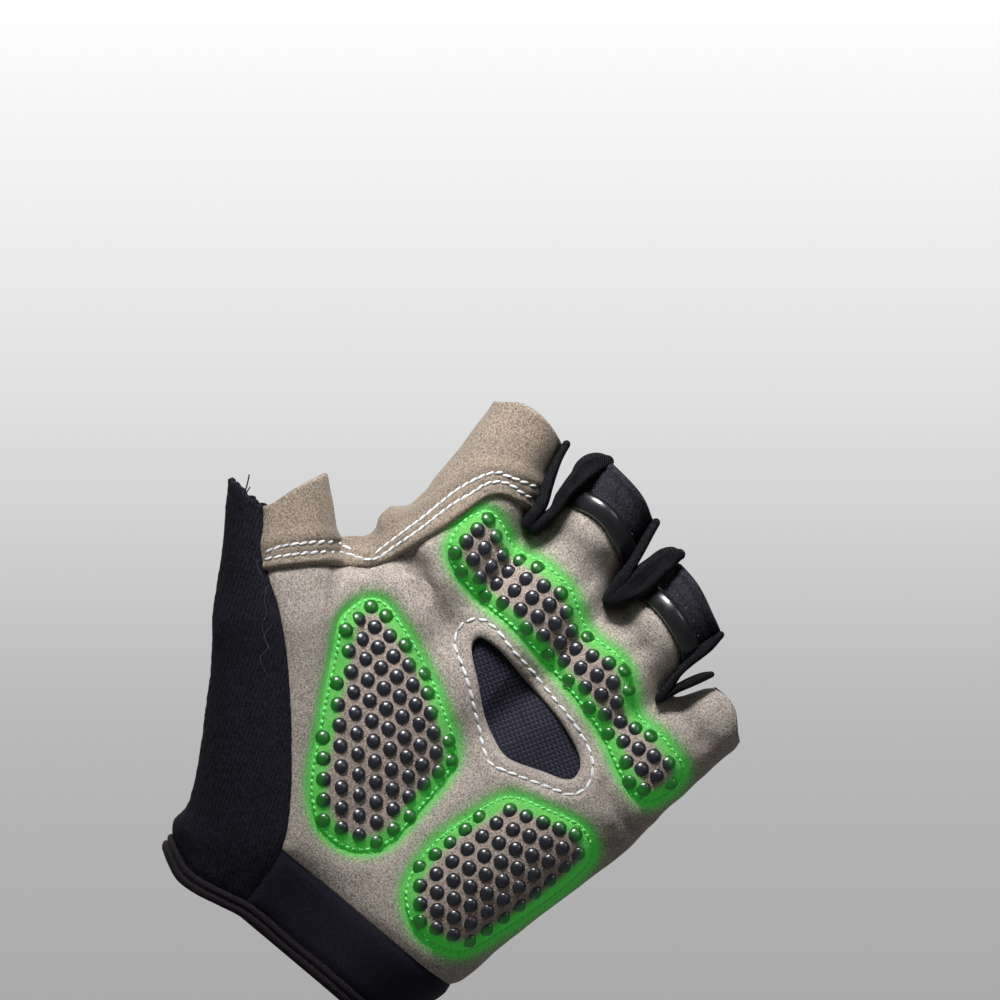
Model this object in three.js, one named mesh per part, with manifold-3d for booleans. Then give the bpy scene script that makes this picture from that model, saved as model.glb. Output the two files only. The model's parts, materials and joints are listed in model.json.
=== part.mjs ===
import * as THREE from "three";
import { mergeVertices } from "three/addons/utils/BufferGeometryUtils.js";
import Module from "manifold-3d";

// A half-finger cycling glove for the left hand, in the form that it has when it is worn. Millimetres.
// +Z runs from the wrist opening to the fingers, the palm faces -Y and the thumb is on the -X side.
// The origin is the middle of the wrist opening.

// Driving dimensions of the glove
const GLOVE_LENGTH = 134; // wrist opening to the middle finger's opening
const PALM_WIDTH = 93; // across the knuckles
const PALM_DEPTH = 30; // palm to back of the hand
const WALL = 1.5; // suede or knit with its lining
const GAP = 0.3; // between neighbouring pieces
const SEAM_Y = 1; // the side seam lies this far behind the middle of the hand

// Cuff
const CUFF_TOP = 20.6; // height of the palm panel's lower edge
const CUFF_WALL = 2.2;
const BINDING_HEIGHT = 5.6;
const BINDING_PROUD = 0.7; // the binding stands this far outside and inside the cuff

// Gel pads and their domes
const PAD_RISE = 1.8;
const PAD_EDGE = 0.9; // bare rim between a pad's outline and its outermost domes
const DOME_PITCH = 4.5;
const DOME_RISE = 1.3;
const DOME_ROW_TURN = 20; // degrees from the palm's width to a row of domes

// Mesh window in the palm
const MESH_THICKNESS = 0.8;
const MESH_MARGIN = 2.5; // how far the mesh runs on behind the suede

// Trim at the fingers
const RIBBON_THICKNESS = 2.0;
const RIBBON_LIFT = 0.5; // of the ribbons over the sharp valleys between the sleeves
const RIBBON_FRONT = 11.5; // reach of the crotch ribbons in front of the middle of the hand
const RIBBON_BACK = 5; // and behind it
const STRIP_WIDTH = 5.2;
const STRIP_THICKNESS = 1.5;
const STRIP_BACK = 4; // the pull strips end this far in front of the middle of the hand

// Blends of the form, the fineness of its facets and the reach of cutting solids
const PALM_BLEND = 3;
const CROTCH_BLEND = 1.2;
const FACET = 8;
const OUTLINE_STEPS = 2; // facets for each row of a smooth outline
const MERGE_DISTANCE = 0.001;
const SLOPE_STEP = 0.05; // between the points that a slope of the form is read from
const SETTLE_ROUNDS = 4; // of drawing a point onto the form
const FAR = 300;

// The form of the palm as tapered bones: x in palm widths, y and radii in palm depths, z in glove lengths.
const PALM_BONES = [
  { x0: -0.172, y0: 0.0, z0: -0.104, r0: 0.617, x1: -0.151, y1: 0.0, z1: 0.164, r1: 0.617 },
  { x0: -0.011, y0: 0.0, z0: -0.104, r0: 0.617, x1: -0.011, y1: 0.0, z1: 0.164, r1: 0.6 },
  { x0: 0.151, y0: 0.0, z0: -0.104, r0: 0.617, x1: 0.129, y1: 0.0, z1: 0.164, r1: 0.6 },
  { x0: -0.129, y0: 0.033, z0: 0.194, r0: 0.533, x1: -0.306, y1: 0.0, z1: 0.746, r1: 0.4 },
  { x0: -0.043, y0: 0.033, z0: 0.194, r0: 0.533, x1: -0.043, y1: 0.0, z1: 0.776, r1: 0.4 },
  { x0: 0.086, y0: 0.033, z0: 0.194, r0: 0.533, x1: 0.194, y1: 0.0, z1: 0.731, r1: 0.4 },
  { x0: 0.172, y0: 0.0, z0: 0.194, r0: 0.5, x1: 0.387, y1: 0.0, z1: 0.657, r1: 0.383 },
  { x0: -0.183, y0: -0.133, z0: 0.164, r0: 0.633, x1: -0.473, y1: -0.2, z1: 0.433, r1: 0.533 },
  { x0: 0.215, y0: -0.1, z0: 0.164, r0: 0.5, x1: 0.355, y1: -0.1, z1: 0.537, r1: 0.417 },
  { x0: -0.473, y0: -0.067, z0: 0.463, r0: 0.367, x1: -0.355, y1: 0.0, z1: 0.657, r1: 0.333 },
];

// The sleeves as tapered bones that run on past their openings: x and radii in palm widths, y in palm
// depths, z in glove lengths.
const SLEEVE_BONES = [
  { x0: -0.495, y0: -0.2, z0: 0.448, r0: 0.17, x1: -0.774, y1: -0.267, z1: 0.657, r1: 0.11 },
  { x0: -0.296, y0: 0.0, z0: 0.731, r0: 0.135, x1: -0.363, y1: -0.1, z1: 1.015, r1: 0.088 },
  { x0: -0.039, y0: 0.0, z0: 0.761, r0: 0.119, x1: -0.074, y1: -0.1, z1: 1.045, r1: 0.096 },
  { x0: 0.197, y0: 0.0, z0: 0.731, r0: 0.12, x1: 0.254, y1: -0.1, z1: 0.985, r1: 0.095 },
  { x0: 0.383, y0: 0.0, z0: 0.642, r0: 0.118, x1: 0.497, y1: -0.1, z1: 0.843, r1: 0.071 },
];

// Hollows and folds pressed into the palm's face: x in palm widths, z in glove lengths, width and depth in
// palm depths. The width is that of half the dent.
const DENTS = [
  { x0: -0.02, z0: 0.28, x1: 0.08, z1: 0.62, width: 0.3, depth: 0.07 }, // hollow of the palm
  { x0: -0.5, z0: 0.6, x1: -0.33, z1: 0.66, width: 0.14, depth: 0.06 }, // web of the thumb
  { x0: -0.34, z0: 0.64, x1: -0.17, z1: 0.59, width: 0.11, depth: 0.035 }, // fold below the index finger
  { x0: -0.16, z0: 0.84, x1: 0.0, z1: 0.82, width: 0.1, depth: 0.03 }, // fold above the knuckle pad
  { x0: 0.0, z0: 0.866, x1: 0.2, z1: 0.793, width: 0.1, depth: 0.04 }, // fold between middle and ring
];

// Seams and openings as they show from the palm, rows of x in palm widths and z in glove lengths.
// The towelling's edge on the palm side, from the thumb's opening to the cuff
const TERRY_FRONT = [
  [-0.8, 0.64], [-0.711, 0.572], [-0.63, 0.505], [-0.516, 0.456], [-0.408, 0.389], [-0.276, 0.291],
  [-0.18, 0.204], [-0.145, 0.159], [-0.129, 0.057], [-0.127, -0.1],
];
// The towelling's edge on the back, from the thumb's opening to the cuff
const TERRY_BACK = [[-0.7, 0.72], [-0.6, 0.6], [-0.47, 0.45], [-0.34, 0.28], [-0.27, 0.15], [-0.25, -0.1]];
// The lapped seam between the palm panel and the web panel, from the thumb to the index finger
const GUSSET = [
  [-0.75, 0.36], [-0.614, 0.495], [-0.518, 0.564], [-0.42, 0.617], [-0.35, 0.736], [-0.305, 0.837],
  [-0.246, 0.856], [-0.171, 0.852],
];
const THUMB_MOUTH = [[-0.95, 0.566], [-0.755, 0.567], [-0.709, 0.571], [-0.675, 0.629], [-0.64, 0.686], [-0.6, 0.75]];
const INDEX_MOUTH = [[-0.5, 0.945], [-0.448, 0.956], [-0.395, 0.98], [-0.316, 0.985], [-0.223, 0.968]];
const MIDDLE_MOUTH = [[-0.195, 1.0], [-0.124, 1.0], [-0.013, 0.99], [0.06, 0.965]];
const RING_MOUTH = [[0.105, 0.948], [0.148, 0.946], [0.216, 0.937], [0.287, 0.917], [0.345, 0.9]];
const LITTLE_MOUTH = [[0.361, 0.824], [0.441, 0.827], [0.481, 0.817], [0.537, 0.786], [0.6, 0.765]];
// The suede's upper edges on the middle and the ring finger
const MIDDLE_HEM = [[-0.184, 0.899], [-0.149, 0.912], [-0.063, 0.914], [0.03, 0.896], [0.058, 0.892]];
const RING_HEM = [[0.09, 0.846], [0.132, 0.857], [0.213, 0.856], [0.317, 0.827], [0.338, 0.822]];

// Outlines of the gel pads and the mesh window, in the same shares
const PAD_OUTLINES = {
  gel_pad_thumb: [
    [-0.36, 0.575], [-0.393, 0.523], [-0.342, 0.45], [-0.262, 0.347], [-0.182, 0.258], [-0.103, 0.221],
    [-0.014, 0.226], [0.04, 0.265], [0.051, 0.35], [0.035, 0.457], [-0.063, 0.507], [-0.238, 0.563],
  ],
  gel_pad_knuckle: [
    [-0.291, 0.808], [-0.321, 0.762], [-0.301, 0.714], [-0.214, 0.689], [-0.049, 0.684], [0.11, 0.669],
    [0.26, 0.645], [0.387, 0.607], [0.455, 0.603], [0.49, 0.645], [0.478, 0.688], [0.403, 0.706],
    [0.303, 0.711], [0.214, 0.76], [0.079, 0.765], [-0.009, 0.797], [-0.1, 0.803], [-0.18, 0.792],
    [-0.25, 0.81],
  ],
  gel_pad_heel: [
    [0.192, 0.463], [0.154, 0.401], [0.125, 0.314], [0.148, 0.231], [0.235, 0.192], [0.345, 0.208],
    [0.395, 0.28], [0.446, 0.424], [0.443, 0.478], [0.383, 0.504], [0.285, 0.49],
  ],
};
const WINDOW_OUTLINE = [
  [-0.114, 0.637], [-0.113, 0.616], [-0.038, 0.574], [0.061, 0.524], [0.126, 0.51], [0.213, 0.529],
  [0.284, 0.554], [0.277, 0.586], [0.191, 0.615], [0.049, 0.633], [-0.066, 0.645],
];

// The ribbons folded into the crotches, from arm to arm
const CROTCH_RIBBONS = {
  binding_index_middle: [[-0.242, 0.981], [-0.2, 0.89], [-0.172, 0.843], [-0.168, 0.9], [-0.187, 0.98]],
  binding_middle_ring: [[0.038, 0.98], [0.06, 0.88], [0.077, 0.815], [0.087, 0.88], [0.107, 0.954]],
  binding_ring_little: [[0.346, 0.905], [0.33, 0.82], [0.322, 0.742], [0.352, 0.79], [0.39, 0.845]],
};

// The middles of the pull strips
const PULL_STRIPS = {
  middle_pull_strip: [[-0.142, 0.93], [-0.05, 0.934], [0.026, 0.916]],
  ring_pull_strip: [[0.124, 0.878], [0.21, 0.88], [0.304, 0.848]],
};

// Colours and finishes of the materials
const FINISHES = {
  palm_suede: { color: 0x9a8f80, roughness: 0.95, metalness: 0 },
  web_suede: { color: 0x8b7d68, roughness: 0.95, metalness: 0 },
  terry: { color: 0x1d1b26, roughness: 1, metalness: 0 },
  knit: { color: 0x1a1a1f, roughness: 0.9, metalness: 0 },
  window_mesh: { color: 0x1c2030, roughness: 0.8, metalness: 0 },
  gel: { color: 0x2c3a2e, roughness: 0.35, metalness: 0 },
  neoprene: { color: 0x17161c, roughness: 0.6, metalness: 0 },
  ribbon: { color: 0x121217, roughness: 0.7, metalness: 0 },
  gloss: { color: 0x0c0c10, roughness: 0.15, metalness: 0 },
};

const wasm = await Module();
wasm.setup();

// Tables in millimetres
function inMillimetres(rows) {
  return rows.map(([x, z]) => ({ x: x * PALM_WIDTH, z: z * GLOVE_LENGTH }));
}

function boneInMillimetres(bone, radiusUnit) {
  const start = new THREE.Vector3(bone.x0 * PALM_WIDTH, bone.y0 * PALM_DEPTH, bone.z0 * GLOVE_LENGTH);
  const end = new THREE.Vector3(bone.x1 * PALM_WIDTH, bone.y1 * PALM_DEPTH, bone.z1 * GLOVE_LENGTH);
  const axis = end.clone().sub(start);
  const length = axis.length();
  const startRadius = bone.r0 * radiusUnit;
  const endRadius = bone.r1 * radiusUnit;
  const slope = (startRadius - endRadius) / length;
  return { start, axis, length, startRadius, endRadius, lean: slope / Math.sqrt(1 - slope * slope) };
}

const palmBones = PALM_BONES.map((bone) => boneInMillimetres(bone, PALM_DEPTH));
const sleeveBones = SLEEVE_BONES.map((bone) => boneInMillimetres(bone, PALM_WIDTH));

// The form is where this distance is below nought
function boneDistance(x, y, z, bone) {
  const dx = x - bone.start.x;
  const dy = y - bone.start.y;
  const dz = z - bone.start.z;
  const along = (dx * bone.axis.x + dy * bone.axis.y + dz * bone.axis.z) / bone.length;
  const off = Math.sqrt(Math.max(dx * dx + dy * dy + dz * dz - along * along, 0));
  const share = THREE.MathUtils.clamp((along - off * bone.lean) / bone.length, 0, 1);
  const radius = bone.startRadius + (bone.endRadius - bone.startRadius) * share;
  return Math.hypot(off, along - share * bone.length) - radius;
}

function blended(distances, blend) {
  const least = Math.min(...distances);
  const sum = distances.reduce((total, distance) => total + Math.exp((least - distance) / blend), 0);
  return least - blend * Math.log(sum);
}

function dentDepth(x, y, z) {
  const towardsPalm = THREE.MathUtils.smoothstep(-y, 0, PALM_DEPTH / 4);
  let depth = 0;
  for (const dent of DENTS) {
    const from = new THREE.Vector2(dent.x0 * PALM_WIDTH, dent.z0 * GLOVE_LENGTH);
    const run = new THREE.Vector2(dent.x1 * PALM_WIDTH, dent.z1 * GLOVE_LENGTH).sub(from);
    const offset = new THREE.Vector2(x, z).sub(from);
    const share = THREE.MathUtils.clamp(offset.dot(run) / run.lengthSq(), 0, 1);
    const away = offset.addScaledVector(run, -share).length() / (dent.width * PALM_DEPTH);
    depth += dent.depth * PALM_DEPTH * Math.exp(-away * away);
  }
  return depth * towardsPalm;
}

function formDistance(x, y, z) {
  const palm = blended(palmBones.map((bone) => boneDistance(x, y, z, bone)), PALM_BLEND);
  const sleeves = sleeveBones.map((bone) => boneDistance(x, y, z, bone));
  return blended([palm, ...sleeves], CROTCH_BLEND) + dentDepth(x, y, z);
}

function formNormal(x, y, z) {
  const d = SLOPE_STEP;
  return new THREE.Vector3(
    formDistance(x + d, y, z) - formDistance(x - d, y, z),
    formDistance(x, y + d, z) - formDistance(x, y - d, z),
    formDistance(x, y, z + d) - formDistance(x, y, z - d),
  ).divideScalar(2 * d);
}

function settleOnForm(point) {
  for (let round = 0; round < SETTLE_ROUNDS; round += 1) {
    const slope = formNormal(point.x, point.y, point.z);
    point.addScaledVector(slope, -formDistance(point.x, point.y, point.z) / slope.lengthSq());
  }
  return point;
}

// The form's surface as a mesh: one point in each cell of a grid that the surface crosses, drawn onto the
// surface, and a quad round each crossed edge of the grid.
function formSurface() {
  const bones = [...palmBones, ...sleeveBones];
  const box = new THREE.Box3();
  for (const bone of bones) {
    const end = bone.start.clone().add(bone.axis);
    box.expandByPoint(bone.start.clone().addScalar(bone.startRadius));
    box.expandByPoint(bone.start.clone().subScalar(bone.startRadius));
    box.expandByPoint(end.clone().addScalar(bone.endRadius));
    box.expandByPoint(end.clone().subScalar(bone.endRadius));
  }
  box.expandByScalar(2 * FACET);
  const counts = box.getSize(new THREE.Vector3()).divideScalar(FACET).ceil().addScalar(1);
  const strides = [1, counts.x, counts.x * counts.y];
  const values = new Float64Array(counts.x * counts.y * counts.z);
  const gridPoint = (i, j, k) => new THREE.Vector3(i, j, k).multiplyScalar(FACET).add(box.min);
  for (let k = 0; k < counts.z; k += 1) {
    for (let j = 0; j < counts.y; j += 1) {
      for (let i = 0; i < counts.x; i += 1) {
        const { x, y, z } = gridPoint(i, j, k);
        values[i + j * strides[1] + k * strides[2]] = formDistance(x, y, z);
      }
    }
  }

  const points = [];
  const pointOfCell = new Map();
  for (let k = 0; k < counts.z - 1; k += 1) {
    for (let j = 0; j < counts.y - 1; j += 1) {
      for (let i = 0; i < counts.x - 1; i += 1) {
        const crossings = cellCrossings(values, strides, [i, j, k]);
        if (crossings.length > 0) {
          const middle = new THREE.Vector3();
          crossings.forEach((crossing) => middle.add(crossing));
          middle.divideScalar(crossings.length).add(new THREE.Vector3(i, j, k));
          pointOfCell.set(i + j * strides[1] + k * strides[2], points.length);
          points.push(settleOnForm(middle.multiplyScalar(FACET).add(box.min)));
        }
      }
    }
  }

  const triangles = [];
  for (let k = 1; k < counts.z - 1; k += 1) {
    for (let j = 1; j < counts.y - 1; j += 1) {
      for (let i = 1; i < counts.x - 1; i += 1) {
        const at = i + j * strides[1] + k * strides[2];
        for (let axis = 0; axis < 3; axis += 1) {
          const inside = values[at] < 0;
          if (inside !== values[at + strides[axis]] < 0) {
            const u = strides[(axis + 1) % 3];
            const v = strides[(axis + 2) % 3];
            const quad = [at - u - v, at - v, at, at - u].map((cell) => pointOfCell.get(cell));
            if (!inside) {
              quad.reverse();
            }
            triangles.push(...splitQuad(quad, points));
          }
        }
      }
    }
  }
  return { points, normals: points.map(({ x, y, z }) => formNormal(x, y, z).normalize()), triangles };
}

function cellCrossings(values, strides, cell) {
  const at = cell[0] + cell[1] * strides[1] + cell[2] * strides[2];
  const crossings = [];
  for (let axis = 0; axis < 3; axis += 1) {
    const u = (axis + 1) % 3;
    const v = (axis + 2) % 3;
    for (const [a, b] of [[0, 0], [1, 0], [0, 1], [1, 1]]) {
      const low = values[at + a * strides[u] + b * strides[v]];
      const high = values[at + a * strides[u] + b * strides[v] + strides[axis]];
      if (low < 0 !== high < 0) {
        const crossing = [0, 0, 0];
        crossing[axis] = low / (low - high);
        crossing[u] = a;
        crossing[v] = b;
        crossings.push(new THREE.Vector3(...crossing));
      }
    }
  }
  return crossings;
}

function splitQuad([a, b, c, d], points) {
  if (points[a].distanceToSquared(points[c]) < points[b].distanceToSquared(points[d])) {
    return [a, b, c, a, c, d];
  }
  return [a, b, d, b, c, d];
}

// Solids
function solidFromArrays(positions, indices) {
  const mesh = new wasm.Mesh({
    numProp: 3,
    vertProperties: new Float32Array(positions),
    triVerts: new Uint32Array(indices),
  });
  return new wasm.Manifold(mesh);
}

function solidFromGeometry(geometry) {
  const plain = geometry.clone();
  plain.deleteAttribute("normal");
  plain.deleteAttribute("uv");
  const merged = mergeVertices(plain, MERGE_DISTANCE);
  const corners = Array.from(merged.index.array);
  const indices = [];
  for (let i = 0; i < corners.length; i += 3) {
    const [a, b, c] = corners.slice(i, i + 3);
    if (a !== b && b !== c && c !== a) {
      indices.push(a, b, c);
    }
  }
  return solidFromArrays(merged.attributes.position.array, indices);
}

const surface = formSurface();

// The form grown by a distance, or shrunk where it is below nought, and lifted
function formGrownBy(distance, lift = 0) {
  const positions = surface.points.flatMap((point, i) => {
    const moved = point.clone().addScaledVector(surface.normals[i], distance);
    return [moved.x, moved.y, moved.z + lift];
  });
  return solidFromArrays(positions, surface.triangles);
}

function layer(outerDistance, innerDistance) {
  return formGrownBy(outerDistance).subtract(formGrownBy(innerDistance));
}

// A flat outline in x and z, run along y
function prism(outline, front, back) {
  const shape = new THREE.Shape(outline.map(({ x, z }) => new THREE.Vector2(x, z)));
  const geometry = new THREE.ExtrudeGeometry(shape, { depth: back - front, bevelEnabled: false });
  geometry.rotateX(Math.PI / 2);
  geometry.translate(0, back, 0);
  return solidFromGeometry(geometry);
}

function block(low, high) {
  const size = high.clone().sub(low);
  const geometry = new THREE.BoxGeometry(size.x, size.y, size.z);
  geometry.translate(low.x + size.x / 2, low.y + size.y / 2, low.z + size.z / 2);
  return solidFromGeometry(geometry);
}

function levelsBetween(low, high) {
  return block(new THREE.Vector3(-FAR, -FAR, low), new THREE.Vector3(FAR, FAR, high));
}

function sideways(line, i) {
  const before = line[Math.max(i - 1, 0)];
  const after = line[Math.min(i + 1, line.length - 1)];
  const length = Math.hypot(after.x - before.x, after.z - before.z);
  return { x: (before.z - after.z) / length, z: (after.x - before.x) / length };
}

// The outline of a band of even width along a line
function bandOutline(line, width) {
  const shifted = (by) => line.map((point, i) => {
    const side = sideways(line, i);
    return { x: point.x + side.x * by, z: point.z + side.z * by };
  });
  return [...shifted(width / 2), ...shifted(-width / 2).reverse()];
}

// A smooth closed outline through the rows of a table
function smoothOutline(rows) {
  const points = inMillimetres(rows).map(({ x, z }) => new THREE.Vector3(x, 0, z));
  const curve = new THREE.CatmullRomCurve3(points, true, "centripetal");
  return curve.getPoints(rows.length * OUTLINE_STEPS).slice(0, -1).map(({ x, z }) => ({ x, z }));
}

function outlineArea(outline) {
  return THREE.ShapeUtils.area(outline.map(({ x, z }) => new THREE.Vector2(x, z)));
}

function grownOutline(outline, by) {
  const outwards = outlineArea(outline) > 0 ? -1 : 1;
  const last = outline.length - 1;
  return outline.map((point, i) => {
    const side = sideways([outline[i === 0 ? last : i - 1], point, outline[i === last ? 0 : i + 1]], 1);
    return { x: point.x + side.x * by * outwards, z: point.z + side.z * by * outwards };
  });
}

// How far a point lies inside an outline, below nought outside it
function depthInside(outline, x, z) {
  let inside = false;
  let least = Infinity;
  outline.forEach((a, i) => {
    const b = outline[(i + 1) % outline.length];
    if (a.z > z !== b.z > z && x < a.x + ((z - a.z) / (b.z - a.z)) * (b.x - a.x)) {
      inside = !inside;
    }
    const run = (b.x - a.x) ** 2 + (b.z - a.z) ** 2;
    const share = THREE.MathUtils.clamp(((x - a.x) * (b.x - a.x) + (z - a.z) * (b.z - a.z)) / run, 0, 1);
    least = Math.min(least, Math.hypot(x - a.x - share * (b.x - a.x), z - a.z - share * (b.z - a.z)));
  });
  return inside ? least : -least;
}

// Seams, openings and the regions between them
const terryFront = inMillimetres(TERRY_FRONT);
const terryBack = inMillimetres(TERRY_BACK);
const gusset = inMillimetres(GUSSET);
const middleHem = inMillimetres(MIDDLE_HEM);
const ringHem = inMillimetres(RING_HEM);
const thumbMouth = inMillimetres(THUMB_MOUTH);
const indexMouth = inMillimetres(INDEX_MOUTH);
const middleMouth = inMillimetres(MIDDLE_MOUTH);
const ringMouth = inMillimetres(RING_MOUTH);
const littleMouth = inMillimetres(LITTLE_MOUTH);

const lowerLeft = { x: -FAR, z: -FAR };
const lowerRight = { x: FAR, z: -FAR };
const palmRegion = [
  lowerLeft, ...gusset, ...middleHem, ...ringHem, ...littleMouth,
  { x: FAR, z: littleMouth.at(-1).z }, lowerRight,
];
const webRegion = [...gusset, ...indexMouth.toReversed(), ...thumbMouth.toReversed()];
const handRegion = [
  lowerLeft, ...thumbMouth, ...indexMouth, ...middleMouth, ...ringMouth, ...littleMouth,
  { x: FAR, z: littleMouth.at(-1).z }, lowerRight,
];
const middleBandRegion = [...middleHem, ...middleMouth.toReversed()];
const ringBandRegion = [...ringHem, ...ringMouth.toReversed()];

// All that lies past a line that runs down the hand, on the little finger's side
function pastLine(line, clearance) {
  const kept = line.map(({ x, z }) => ({ x: x + clearance, z }));
  return [...kept, lowerRight, { x: FAR, z: FAR }, { x: kept[0].x, z: FAR }];
}

// Cuts a gap's width along a seam, through the front or the back of the hand
function seamCut(line, front, back) {
  return prism(bandOutline(line, GAP), front, back);
}

function seamCuts() {
  const wholeTerry = block(new THREE.Vector3(-FAR, -FAR, -FAR), new THREE.Vector3(FAR, FAR, FAR))
    .subtract(prism(pastLine(terryFront, 0), -FAR, FAR))
    .subtract(prism(pastLine(terryBack, 0), -FAR, FAR));
  const sideSeam = block(
    new THREE.Vector3(-FAR, SEAM_Y - GAP / 2, -FAR),
    new THREE.Vector3(FAR, SEAM_Y + GAP / 2, FAR),
  ).subtract(wholeTerry);
  const seams = [
    sideSeam,
    seamCut(terryFront, -FAR, SEAM_Y),
    seamCut(terryBack, SEAM_Y, FAR),
    seamCut(gusset.slice(1), -FAR, SEAM_Y),
    seamCut(middleHem, -FAR, SEAM_Y),
    seamCut(ringHem, -FAR, SEAM_Y),
  ];
  return wasm.Manifold.union(seams);
}

function terrySide(clearance) {
  return block(new THREE.Vector3(-FAR, -FAR, -FAR), new THREE.Vector3(FAR, FAR, FAR))
    .subtract(prism(pastLine(terryFront, clearance), -FAR, SEAM_Y))
    .subtract(prism(pastLine(terryBack, clearance), SEAM_Y, FAR));
}

const shell = layer(0, -WALL).subtract(seamCuts());
const terryPart = terrySide(0);
const aboveCuff = levelsBetween(CUFF_TOP + GAP / 2, FAR);
const aboveBinding = levelsBetween(BINDING_HEIGHT + GAP / 2, FAR);
const panels = shell.intersect(aboveCuff).subtract(terryPart);

// The panels
function palmPanel() {
  const opening = prism(smoothOutline(WINDOW_OUTLINE), -FAR, 0);
  return panels.intersect(prism(palmRegion, -FAR, SEAM_Y)).subtract(opening);
}

function webPanel() {
  return panels.intersect(prism(webRegion, -FAR, SEAM_Y));
}

function terryPanel() {
  return shell.intersect(aboveBinding).intersect(terryPart).intersect(prism(handRegion, -FAR, FAR));
}

function backPanel() {
  return panels.intersect(prism(handRegion, SEAM_Y, FAR));
}

function meshWindow() {
  const region = grownOutline(smoothOutline(WINDOW_OUTLINE), MESH_MARGIN);
  return layer(-WALL - GAP, -WALL - GAP - MESH_THICKNESS).intersect(prism(region, -FAR, 0));
}

// The cuff
function cuffBand() {
  return layer(0, -CUFF_WALL)
    .subtract(terrySide(GAP))
    .intersect(levelsBetween(BINDING_HEIGHT + GAP / 2, CUFF_TOP - GAP / 2));
}

function cuffBinding() {
  return layer(BINDING_PROUD, -CUFF_WALL - BINDING_PROUD)
    .intersect(levelsBetween(0, BINDING_HEIGHT - GAP / 2));
}

// Gel pads with their domes
function frontOfForm(x, z, grown) {
  let front = -PALM_DEPTH * 2;
  let back = 0;
  while (back - front > MERGE_DISTANCE) {
    const middle = (front + back) / 2;
    if (formDistance(x, middle, z) > grown) {
      front = middle;
    } else {
      back = middle;
    }
  }
  return new THREE.Vector3(x, front, z);
}

// The face of a pad is a net of triangles, three to a dome's pitch. Each dome is a raised point of the net
// that has the six points round it as its foot.
function padFace(outline) {
  const turn = THREE.MathUtils.degToRad(DOME_ROW_TURN);
  const step = DOME_PITCH / 3;
  const alongRow = new THREE.Vector2(Math.cos(turn), Math.sin(turn)).multiplyScalar(step);
  const toNextRow = alongRow.clone().rotateAround(new THREE.Vector2(), Math.PI / 3);
  const reach = Math.ceil((2 * GLOVE_LENGTH) / step);
  const net = { points: [], at: new Map(), reach };
  for (let row = -reach; row <= reach; row += 1) {
    for (let i = -reach; i <= reach; i += 1) {
      const x = i * alongRow.x + row * toNextRow.x;
      const z = i * alongRow.y + row * toNextRow.y;
      const depth = depthInside(outline, x, z);
      if (depth > -2 * step) {
        const isDome = mod(i - row, 3) === 0 && mod(row, 3) === 0 && depth > step + PAD_EDGE;
        net.at.set(`${i},${row}`, net.points.length);
        net.points.push(frontOfForm(x, z, PAD_RISE + (isDome ? DOME_RISE : 0)));
      }
    }
  }
  return net;
}

function mod(value, by) {
  return ((value % by) + by) % by;
}

// The net's face and a flat back behind it, with a wall round both
function padBlock(outline) {
  const { points, at, reach } = padFace(outline);
  const faces = [];
  for (let row = -reach; row < reach; row += 1) {
    for (let i = -reach; i < reach; i += 1) {
      const [a, b, c, d] = [[i, row], [i + 1, row], [i + 1, row + 1], [i, row + 1]]
        .map(([u, v]) => at.get(`${u},${v}`));
      for (const face of [[a, b, d], [b, c, d]]) {
        if (face.every((corner) => corner !== undefined)) {
          faces.push(face);
        }
      }
    }
  }
  const positions = points.flatMap(({ x, y, z }) => [x, y, z]);
  positions.push(...points.flatMap(({ x, z }) => [x, 0, z]));
  const indices = faces.flatMap(([a, b, c]) => [a, b, c]);
  indices.push(...faces.flatMap(([a, b, c]) => [c, b, a].map((corner) => corner + points.length)));
  const edges = new Set(faces.flatMap(([a, b, c]) => [`${a},${b}`, `${b},${c}`, `${c},${a}`]));
  for (const edge of edges) {
    const [a, b] = edge.split(",").map(Number);
    if (!edges.has(`${b},${a}`)) {
      indices.push(b, a, a + points.length, b, a + points.length, b + points.length);
    }
  }
  return solidFromArrays(positions, indices);
}

function gelPad(rows) {
  const outline = smoothOutline(rows);
  return padBlock(outline).intersect(prism(outline, -FAR, -GAP)).subtract(formGrownBy(GAP));
}

// Trim at the fingers
const clearOfSleeves = formGrownBy(GAP).add(formGrownBy(0, RIBBON_LIFT));

function fingerBand(region) {
  return panels.intersect(prism(region, -FAR, SEAM_Y));
}

// A ribbon as wide as the hand is deep there, folded at the middle row of its table
function foldedRibbon(rows, thickness, front, back) {
  const line = inMillimetres(rows);
  const fold = (line.length - 1) / 2;
  const arms = [line.slice(0, fold + 1), line.slice(fold)];
  return wasm.Manifold.union(arms.map((arm) => prism(bandOutline(arm, thickness), front, back)));
}

function crotchRibbon(rows) {
  return foldedRibbon(rows, RIBBON_THICKNESS, -RIBBON_FRONT, RIBBON_BACK).subtract(clearOfSleeves);
}

function pullStrip(rows) {
  const region = prism(bandOutline(inMillimetres(rows), STRIP_WIDTH), -FAR, -STRIP_BACK);
  const ribbons = Object.values(CROTCH_RIBBONS).map((ribbon) => (
    foldedRibbon(ribbon, RIBBON_THICKNESS + 2 * GAP, -FAR, FAR)
  ));
  return layer(GAP + STRIP_THICKNESS, GAP).intersect(region).subtract(wasm.Manifold.union(ribbons));
}

// Assembly
function meshOf(name, solid, finish) {
  const { vertProperties, triVerts } = solid.getMesh();
  const geometry = new THREE.BufferGeometry();
  geometry.setAttribute("position", new THREE.BufferAttribute(new Float32Array(vertProperties), 3));
  geometry.setIndex(new THREE.BufferAttribute(new Uint32Array(triVerts), 1));
  geometry.computeVertexNormals();
  const mesh = new THREE.Mesh(geometry, new THREE.MeshStandardMaterial(FINISHES[finish]));
  mesh.name = name;
  return mesh;
}

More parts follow.
